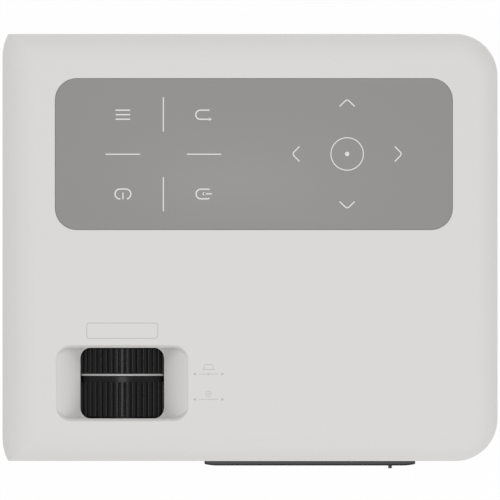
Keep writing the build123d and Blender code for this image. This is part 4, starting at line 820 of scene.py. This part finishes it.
def tray_front():
    """Glossy strip across the tray, bulging a little, with rounded ends, a matt rim and the key's hole."""
    low, high = STRIP_LOW, STRIP_HIGH
    run, drawn_back = 8.0 * MM, 0.9 * MM
    corner, soft, rim, rim_depth = 0.7 * MM, 0.25 * MM, 0.85 * MM, 0.3 * MM
    hole_radius, flare, over = 1.3 * MM, 0.35 * MM, 1 * MM

    def front_at(reach):
        """Y of the strip's face, this far from its nearer end."""
        y = low.y + drawn_back * max(0.0, 1 - reach / run) ** 2
        if reach < corner:
            y += corner - sqrt(corner ** 2 - (corner - reach) ** 2)
        return y

    reaches = [corner * (1 - cos(radians(turn))) for turn in range(0, 90, 15)]
    reaches += [corner + (run - corner) * step / 12 for step in range(13)]
    places = [(low.x + reach, front_at(reach)) for reach in reaches]
    places += [(high.x - reach, front_at(reach)) for reach in reversed(reaches)]

    def strip_section(y):
        return [Vector((high.y, low.z)), *arc(Vector((y + soft, low.z + soft)), soft, 270, 180, 5),
                *arc(Vector((y + rim, high.z - rim)), rim, 180, 90, 5), Vector((high.y, high.z))]

    def rim_section(y):
        return [Vector((y, high.z - rim)), *arc(Vector((y + soft, high.z - soft)), soft, 180, 90, 5),
                Vector((y + rim, high.z)), Vector((y + rim, high.z - rim_depth)),
                Vector((y + rim_depth, high.z - rim))]

    def along(section_at):
        """Solid along the strip, skinned through its upright sections."""
        made = bmesh.new()
        skin(made, [[(x, p.x, p.y) for p in section_at(y)] for x, y in places])
        bmesh.ops.recalc_face_normals(made, faces=made.faces)
        return made

    solid_piece("tray_front_rim", along(rim_section), RING_BLACK, "disc_carrier", sharp=35)
    back = high.y - low.y + over
    hole = bmesh.new()
    profile = [(0.0, -over), (hole_radius + flare, -over), (hole_radius + flare, 0.0), (hole_radius, flare),
               (hole_radius, back), (0.0, back)]
    lathe(hole, profile, Vector((KEY_X, low.y, KEY_Z)), steps=48)
    bmesh.ops.remove_doubles(hole, verts=hole.verts, dist=1e-7)
    bmesh.ops.recalc_face_normals(hole, faces=hole.faces)
    strip = carved(along(strip_section), hole)
    solid_piece("tray_front_strip", strip, GLOSS_BLACK, "disc_carrier", "tray_bezel", sharp=35)


def eject_key():
    """Small domed key with the collar that holds it behind the strip."""
    radius, collar, back = 1.18 * MM, 1.98 * MM, KEY_HIGH.y
    seat = STRIP_HIGH.y + 0.1 * MM
    profile = [*dome(radius, KEY_LOW.y, 0.5 * MM), (radius, seat), (collar, seat), (collar, seat + 0.8 * MM),
               (radius, seat + 0.9 * MM), (radius, back), (0, back)]
    centre = Vector((KEY_X, 0, KEY_Z))
    turned("eject_key_cap", profile, centre, "Y", GLOSS_BLACK, "eject_key", "eject_button", steps=40)


# ---------------------------------------------------------------- grilles
GRILLE_THICK = 2.0 * MM


def side_grille(name, inward, low, high, *stands_for):
    """Grille of one side wall: a frame, upright rounded slats and a woven dust screen behind them."""
    face, back = (low.x, high.x) if inward > 0 else (high.x, low.x)
    depth = abs(back - face)
    y0, y1, z0, z1 = low.y, high.y, low.z, high.z
    rim, lap = 3.9 * MM, 0.3 * MM
    bottom, top = z0 + rim - lap, z1 - rim + lap

    # frame: outside from the back to the face, then the opening from the face to the back
    soft, flare, outer_corner, inner_corner = 0.25 * MM, 0.35 * MM, 0.8 * MM, 1.2 * MM
    sections = ((0.0, outer_corner, 1.0), (0.0, outer_corner, 0.15), (soft, outer_corner, 0.0),
                (rim - flare, inner_corner + flare, 0.0), (rim, inner_corner, 0.2), (rim, inner_corner, 1.0))
    rows = []
    for margin, corner, share in sections:
        inset = Vector((margin, margin))
        outline = rounded_outline(Vector((y0, z0)) + inset, Vector((y1, z1)) - inset, corner, 4)
        rows.append([(face + inward * share * depth, p.x, p.y) for p in outline])
    border = bmesh.new()
    skin(border, rows, ends=False)
    solid_piece(f"grille_frame_{name}", border, GRILLE, COVER_BODY, *stands_for, sharp=40)

    # slats: flat behind, rounded towards the face
    count, pitch, half, bulge, crown_base = 21, 4.5 * MM, 1.15 * MM, 0.5 * MM, 0.75 * MM
    first = (y0 + y1) / 2 - pitch * (count - 1) / 2
    outline = [(a, depth - crown_base + b) for a, b in oval(half, bulge, 0, 180, 30)]
    outline += [(-half, 0.0), (half, 0.0)]
    slat = bmesh.new()
    skin(slat, [[(back - inward * b, first + a, z) for a, b in outline] for z in (bottom, top)])
    in_line(f"grille_slats_{name}", slat, count, (0, pitch, 0), GRILLE, COVER_BODY)

    # dust screen: drawn with a wire each 1.5 mm, coarser than real, so that it shows
    wire, gap = 0.16 * MM, 1.5 * MM
    plane = back - inward * 0.35 * MM
    round_wire = oval(wire, wire, 0, 300, 60)
    first_y, first_z = y0 + rim + gap / 2, z0 + rim + gap / 2
    upright = [[(plane + a, first_y + b, z) for a, b in round_wire] for z in (bottom, top)]
    level = [[(plane + a, y, first_z + b) for a, b in round_wire] for y in (y0 + rim - lap, y1 - rim + lap)]
    wide, tall = y1 - y0 - 2 * rim, z1 - z0 - 2 * rim
    for way, bar, span, step in (("up", upright, wide, (0, gap, 0)), ("along", level, tall, (0, 0, gap))):
        strand = bmesh.new()
        skin(strand, bar)
        in_line(f"dust_screen_{way}_{name}", strand, int(span / gap), step, BLACK, COVER_BODY)


def side_grilles():
    """The grilles of both side walls, which share a node."""
    low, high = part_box("side_grilles")
    side_grille("left", 1, low, Vector((low.x + GRILLE_THICK, high.y, high.z)), "side_grilles")
    side_grille("right", -1, Vector((high.x - GRILLE_THICK, low.y, low.z)), high)


# ---------------------------------------------------------------- fans
def fan_rotor(name, axis, blades, hub_share):
    """Axial rotor: capped hub and swept blades, spread round the shaft."""
    node = f"{name}_rotor"
    low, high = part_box(node)
    body = BODY_OF[node]
    along = "XYZ".index(axis)
    start, end = low[along], high[along]
    middle = (low + high) / 2
    middle[along] = 0
    tip = (high.z - low.z) / 2 - 0.1 * MM
    hub, soft, recess = tip * hub_share, 1.2 * MM, 0.4 * MM
    cap = [(0, start), (hub - soft, start), (hub - 0.3 * soft, start + 0.3 * soft), (hub, start + soft),
           (hub, end - soft), (hub - 0.3 * soft, end - 0.3 * soft), (hub - soft, end), (hub * 0.55, end),
           (hub * 0.5, end - recess), (0, end - recess)]
    turned(f"{name}_hub", cap, middle, axis, BLACK, body, node, steps=72)

    # one blade: nine by nine points under and over it, with narrow walls round its edges
    count, thick, root = 9, 1.1 * MM, hub - 0.4 * MM
    sweep, spread, wider, edge_gap = 0.30, 0.36, 0.05, 0.8 * MM
    shares = [step / (count - 1) for step in range(count)]

    def blade_point(out, share, face):
        reach = root + (tip - root) * out
        turn = sweep * out + (spread + wider * out) * (share - 0.5) * 2
        belly = 0.10 * (end - start) * sin(pi * share) * (1 - share)
        half = thick * (0.15 + 0.35 * sin(pi * share) ** 0.5) / 2
        place = start + edge_gap + (end - start - 2 * edge_gap) * share + face * half - belly
        place = min(end, max(start, place))
        a, b = reach * cos(turn), reach * sin(turn)
        return middle + Vector((place, a, b) if axis == "X" else (a, place, b))

    blade = bmesh.new()
    under, over = ([[blade.verts.new(blade_point(out, share, face)) for share in shares] for out in shares]
                   for face in (-1, 1))
    for i in range(count - 1):
        for j in range(count - 1):
            for side in (under, over):
                blade.faces.new((side[i][j], side[i][j + 1], side[i + 1][j + 1], side[i + 1][j]))
        for k in (0, count - 1):
            blade.faces.new((under[i][k], under[i + 1][k], over[i + 1][k], over[i][k]))
            blade.faces.new((under[k][i], under[k][i + 1], over[k][i + 1], over[k][i]))
    bmesh.ops.recalc_face_normals(blade, faces=blade.faces)
    in_round(f"{name}_blades", blade, blades, middle, axis, BLACK, body, sharp=50)


# ---------------------------------------------------------------- rear sockets
SOCKET_DEPTH, SOCKET_WALL = 11.0 * MM, 0.5 * MM


def mouth_shell(target, x, z, face, width, height, chamfer):
    """Folded sheet shell of a socket: thin walls and a rolled lip; chamfer cuts its lower corners."""
    def outline(grow):
        w, h, c = width / 2 + grow, height / 2 + grow, chamfer
        return ((x - w + c, z - h), (x + w - c, z - h), (x + w, z - h + c), (x + w, z + h), (x - w, z + h),
                (x - w, z - h + c))

    wall, back = SOCKET_WALL, face - SOCKET_DEPTH
    lip = 0.1 * MM
    sections = ((wall, back - wall), (wall, face - 0.3 * MM), (wall - lip, face), (lip, face),
                (0.0, face - 0.4 * MM), (0.0, back))
    skin(target, [[(a, y, b) for a, b in outline(grow)] for grow, y in sections])


def sockets(kind, node, half_size, mouth, tongue, contacts):
    """Two equal sockets: shells, tongues and their brass contacts; sizes in millimetres."""
    low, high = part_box(node)
    body, face = BODY_OF[node], high.y
    width, height, chamfer = (size * MM for size in mouth)
    tongue_wide, tongue_thick, tongue_long, tongue_rise = (size * MM for size in tongue)
    centre_z = (low.z + high.z) / 2
    level, back = centre_z + tongue_rise, face - SOCKET_DEPTH
    under = level - tongue_thick / 2
    pitch = tongue_wide * 0.86 / contacts
    places = (low.x + half_size * MM, high.x - half_size * MM)
    shells, tongues = bmesh.new(), bmesh.new()
    for x in places:
        mouth_shell(shells, x, centre_z, face, width, height, chamfer)
        box_bar(tongues, x - tongue_wide / 2, x + tongue_wide / 2, back, back + tongue_long,
                under, under + tongue_thick)
    solid_piece(f"{kind}_shells", shells, STEEL, body, node, sharp=30)
    solid_piece(f"{kind}_tongues", tongues, BLACK, body, sharp=30)
    for number, x in enumerate(places, 1):
        start = x - pitch * (contacts - 1) / 2
        pin = bmesh.new()
        box_bar(pin, start - pitch * 0.28, start + pitch * 0.28, back, back + tongue_long - 0.6 * MM,
                under - 0.08 * MM, under + 0.05 * MM)
        in_line(f"{kind}_contacts_{number}", pin, contacts, (pitch, 0, 0), BRASS, body)


def rear_sockets():
    """Picture, memory-stick, audio and mains sockets behind the rear plate."""
    sockets("picture_socket", "hdmi_sockets", 7.6, (14.0, 4.8, 1.9), (11.4, 1.3, 8.5, 0.45), 10)
    sockets("stick_socket", "usb_sockets", 7.2, (12.6, 5.4, 0.25), (11.0, 1.9, 9.0, 1.1), 4)

    # places along Y are counted from the sockets' face
    bush = mm((1.85, -10), (1.85, -0.3), (2.05, 0), (2.75, 0), (2.98, -0.2), (2.98, -1.2), (2.3, -1.3),
              (2.3, -10))
    low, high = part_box("audio_jacks")
    half_jack = 4 * MM
    for number, x in enumerate((low.x + half_jack, high.x - half_jack), 1):
        centre = Vector((x, high.y, (low.z + high.z) / 2))
        turned(f"audio_bush_{number}", bush, centre, "Y", GROUND_STEEL, BODY_OF["audio_jacks"], steps=48)

    pin = mm((0, -9.5), (1.22, -9.5), (1.22, -0.7), (0.9, -0.2), (0.4, 0), (0, 0))
    low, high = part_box("power_inlet")
    pin_sunk, pin_aside = 2.9 * MM, 5.2 * MM
    for number, side in enumerate((-1, 1), 1):
        centre = Vector(((low.x + high.x) / 2 + side * pin_aside, high.y - pin_sunk, (low.z + high.z) / 2))
        turned(f"mains_pin_{number}", pin, centre, "Y", GROUND_STEEL, BODY_OF["power_inlet"], steps=32)


# ---------------------------------------------------------------- feet
def rubber_feet():
    """Four moulded feet, each with a hollow and a ring groove in its tread."""
    low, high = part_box("rubber_feet")
    radius, height = 9.0, (high.z - low.z) / MM
    profile = mm((0, 0.7), (3.2, 0.7), (3.6, 0.15), (4.0, 0), (5.6, 0), (5.9, 0.5), (6.5, 0.5), (6.8, 0),
                 (7.9, 0), (8.5, 0.25), (8.85, 0.8), (radius, 1.6), (radius, height), (0, height))
    feet = bmesh.new()
    for x in (low.x + radius * MM, high.x - radius * MM):
        for y in (low.y + radius * MM, high.y - radius * MM):
            lathe(feet, profile, Vector((x, y, low.z)), "Z", 64)
    solid_piece("moulded_feet", feet, RUBBER, COVER_BODY, "rubber_feet", sharp=40)


def adjusting_foot():
    """Front foot: rubber pad, knurled wheel and a screw with a true thread."""
    low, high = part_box("foot_pad")
    x, y = (low.x + high.x) / 2, (low.y + high.y) / 2
    radius, top = (high.x - low.x) / 2 / MM, high.z / MM
    pad = mm((0, 0.5), (5.5, 0.5), (6.0, 0), (radius - 0.6, 0), (radius, 0.6), (radius, top), (0, top))
    turned("foot_pad_moulded", pad, Vector((x, y, 0)), "Z", RUBBER, "foot_base", "foot_pad", steps=80)

    low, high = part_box("foot_screw")
    wheel, rise, soft, shoulder = 9.5, 4.4, 0.6, 4.6
    body = mm((0, 0), (wheel - soft, 0), (wheel, soft), (wheel, rise - soft), (wheel - soft, rise),
              (shoulder, rise), (0, rise))
    turned("foot_wheel", body, Vector((x, y, low.z)), "Z", BLACK, "foot_thread", "foot_screw", steps=96)

    ridges, ridge_seat, ridge_out, ridge_half = 30, (wheel - 0.4) * MM, 0.84 * MM, 0.75 * MM
    bump = [Vector((x + ridge_seat + a, y + b)) for a, b in oval(ridge_out, ridge_half, -90, 90, 20)]
    ridge = bmesh.new()
    plate(ridge, (bump, low.z + 0.5 * MM), (bump, low.z + (rise - 0.5) * MM))
    in_round("foot_wheel_ridges", ridge, ridges, (x, y, 0), "Z", BLACK, "foot_thread", sharp=60)

    root, crest, pitch = 3.35 * MM, 3.98 * MM, 1.25 * MM
    start = low.z + rise * MM
    shank = bmesh.new()
    threaded(shank, x, y, start, "Z", root, crest, pitch, high.z - start, steps=36, rows=8)
    solid_piece("foot_thread_cut", shank, BLACK, "foot_thread", sharp=60)


# ---------------------------------------------------------------- disc mechanism
def sled_thread():
    """Lead screw with a true thread of the pitch that its coupling has, and its plain ends."""
    low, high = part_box("lead_screw")
    x, z = (low.x + high.x) / 2, (low.z + high.z) / 2
    crest, cut, pitch = (high.x - low.x) / 2, 0.32 * MM, 2.1 * MM
    screw = bmesh.new()
    threaded(screw, x, low.y, z, "Y", crest - cut, crest, pitch, high.y - low.y, steps=32, rows=10)
    solid_piece("sled_screw_thread", screw, GROUND_STEEL, "sled_screw", "lead_screw", sharp=60)


def turntable():
    """Turntable: rubber friction ring on a moulded hub, with three steel clamping balls."""
    low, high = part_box("spindle_hub")
    centre = Vector(((low.x + high.x) / 2, (low.y + high.y) / 2, low.z))
    rim, top = (high.x - low.x) / 2 / MM, (high.z - low.z) / MM
    shaft, underside, step, boss = 7.35, 4.4, 5.3, 7.15
    hub = mm((0, 0), (shaft, 0), (shaft, underside), (rim - 0.3, underside), (rim, underside + 0.2),
             (rim, step - 0.15), (rim - 0.15, step), (boss, step), (boss, top - 1.2), (boss - 0.5, top - 0.4),
             (boss - 1.2, top), (3.0, top), (2.6, top - 0.8), (1.2, top - 0.8), (1.0, top - 0.3),
             (0, top - 0.3))
    turned("turntable_hub", hub, centre, "Z", TRAY_GREY, "turntable", "spindle_hub", steps=96)
    inner, outer = rim - 3.2, rim - 0.6
    ring = mm((inner, step - 0.1), (outer, step - 0.1), (outer, step + 0.05), (outer - 0.3, step + 0.12),
              (inner + 0.3, step + 0.12), (inner, step + 0.05))
    turned("turntable_friction_ring", ring, centre, "Z", RUBBER, "turntable", steps=96)
    balls, ball_radius, ball_reach, ball_height = 3, 0.78 * MM, 6.8 * MM, 6.5 * MM
    ball = bmesh.new()
    bmesh.ops.create_uvsphere(ball, u_segments=20, v_segments=12, radius=ball_radius)
    bmesh.ops.translate(ball, verts=ball.verts, vec=centre + Vector((ball_reach, 0, ball_height)))
    in_round("clamping_balls", ball, balls, (centre.x, centre.y, 0), "Z", GROUND_STEEL, "turntable", sharp=60)


def laser_pickup():
    """Objective lens of the pickup in its mount."""
    low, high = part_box("pickup_sled")
    aside, forward, lens_radius = 0.95 * MM, 5.5 * MM, 1.33
    centre = Vector(((low.x + high.x) / 2 - aside, low.y + forward, high.z))
    mount = mm((1.35, -0.9), (1.35, -0.25), (1.6, 0), (2.0, 0), (2.2, -0.2), (2.2, -0.9))
    turned("objective_mount", mount, centre, "Z", BLACK, "pickup", steps=48)
    crown = [(radius, along - 0.5) for radius, along in oval(lens_radius, 0.45, 15, 90, 15)]
    lens = mm((0, -0.9), (lens_radius, -0.9), (lens_radius, -0.5), *crown)
    turned("objective_lens", lens, centre, "Z", GLASS, "pickup", steps=48)


# ---------------------------------------------------------------- camera, light and ground
def camera():
    """Straight down, from far off: the photograph shows almost no perspective."""
    lens, sensor = 1000.0, 36.0
    outline_below_top = 14 * MM
    width = PHOTO_SIDE * PIXEL
    middle = spot(PHOTO_SIDE / 2, PHOTO_SIDE / 2)
    data = bpy.data.cameras.new("camera")
    data.lens = lens
    data.sensor_width = sensor
    data.clip_end = 50.0
    eye = bpy.data.objects.new("camera", data)
    eye.location = (middle.x, middle.y, TOP - outline_below_top + width * lens / sensor)
    bpy.context.scene.collection.objects.link(eye)
    bpy.context.scene.camera = eye


def lamp(name, place, target, size, power):
    """Soft rectangular lamp that looks at its target."""
    data = bpy.data.lights.new(name, "AREA")
    data.shape = "RECTANGLE"
    data.size, data.size_y = size
    data.energy = power
    light = bpy.data.objects.new(name, data)
    light.location = place
    light.rotation_euler = (Vector(target) - Vector(place)).to_track_quat("-Z", "Y").to_euler()
    bpy.context.scene.collection.objects.link(light)


def sees_background(tree):
    """1 where a ray should meet the white background: camera, mirror and glass rays; 0 for falling light."""
    seen = add(tree, "ShaderNodeLightPath").outputs
    mirror = add(tree, "ShaderNodeMath", {
        "operation": "MAXIMUM", 0: seen["Is Camera Ray"], 1: seen["Is Glossy Ray"]})
    return add(tree, "ShaderNodeMath", {"operation": "MAXIMUM", 0: mirror, 1: seen["Is Transmission Ray"]})


def studio():
    """Even white tent light, a long soft light over the lens, a weak key from the front, a strip behind."""
    tent_level = 0.752
    world = bpy.data.worlds.new("tent")
    bpy.context.scene.world = world
    world.use_nodes = True
    tree = world.node_tree
    background = tree.nodes["Background"]
    level = add(tree, "ShaderNodeMapRange", {
        "To Min": tent_level, "To Max": 1.0, "Value": sees_background(tree)})
    tree.links.new(level.outputs[0], background.inputs["Strength"])
    background.inputs["Color"].default_value = (1, 1, 1, 1)
    lamp("key", (0.4, -1.05, 0.8), (0, 0, 0.08), (0.8, 0.8), 1.9)
    lamp("overhead", (AXIS.x, -0.08, 1.6), (AXIS.x, -0.08, 0.1), (0.4, 0.12), 2.2)
    lamp("strip", (0.0, 0.85, 1.0), (0, 0.1, 0.09), (1.2, 0.12), 1.35)


def ground():
    """White sheet under the object: it keeps a weak shadow and looks white to the camera."""
    reach, white_share = 3.0, 0.97
    material = bpy.data.materials.new("white_paper_sweep")
    material.use_nodes = True
    tree = material.node_tree
    shader = tree.nodes["Principled BSDF"]
    shader.inputs["Base Color"].default_value = (0.95, 0.95, 0.95, 1)
    shader.inputs["Roughness"].default_value = 0.9
    glow = add(tree, "ShaderNodeEmission", {"Color": (1, 1, 1, 1), "Strength": 1.0})
    share = add(tree, "ShaderNodeMath", {"operation": "MULTIPLY", 0: sees_background(tree), 1: white_share})
    both = add(tree, "ShaderNodeMixShader", {0: share, 1: shader, 2: glow})
    tree.links.new(both.outputs[0], tree.nodes["Material Output"].inputs["Surface"])
    sheet = bmesh.new()
    corners = ((-reach, -reach), (reach, -reach), (reach, reach), (-reach, reach))
    sheet.faces.new([sheet.verts.new((x, y, 0)) for x, y in corners])
    floor = object_of("ground", sheet)
    floor.data.materials.append(material)


camera()
touch_panel()
panel_symbols()
setting_marks()
lens_rings()
trim_ring()
lens_opening()
barrel()
infrared_eye()
tray_front()
eject_key()
side_grilles()
fan_rotor("lamp_fan", "Y", blades=9, hub_share=0.46)
fan_rotor("panel_fan", "X", blades=7, hub_share=0.54)
rear_sockets()
rubber_feet()
adjusting_foot()
sled_thread()
turntable()
laser_pickup()
for softened_node, its_finish in (
        ("rear_plate", BLACK), ("disc_tray", TRAY_GREY), ("power_inlet", EPOXY), ("audio_jacks", EPOXY),
        ("tray_rails", TRAY_GREY), ("pickup_sled", EPOXY), ("mechanism_plate", STEEL),
        ("drive_chassis", STEEL), ("drive_lid", STEEL)):
    softened(softened_node, its_finish)
studio()
ground()
bpy.context.scene.view_settings.view_transform = "Standard"
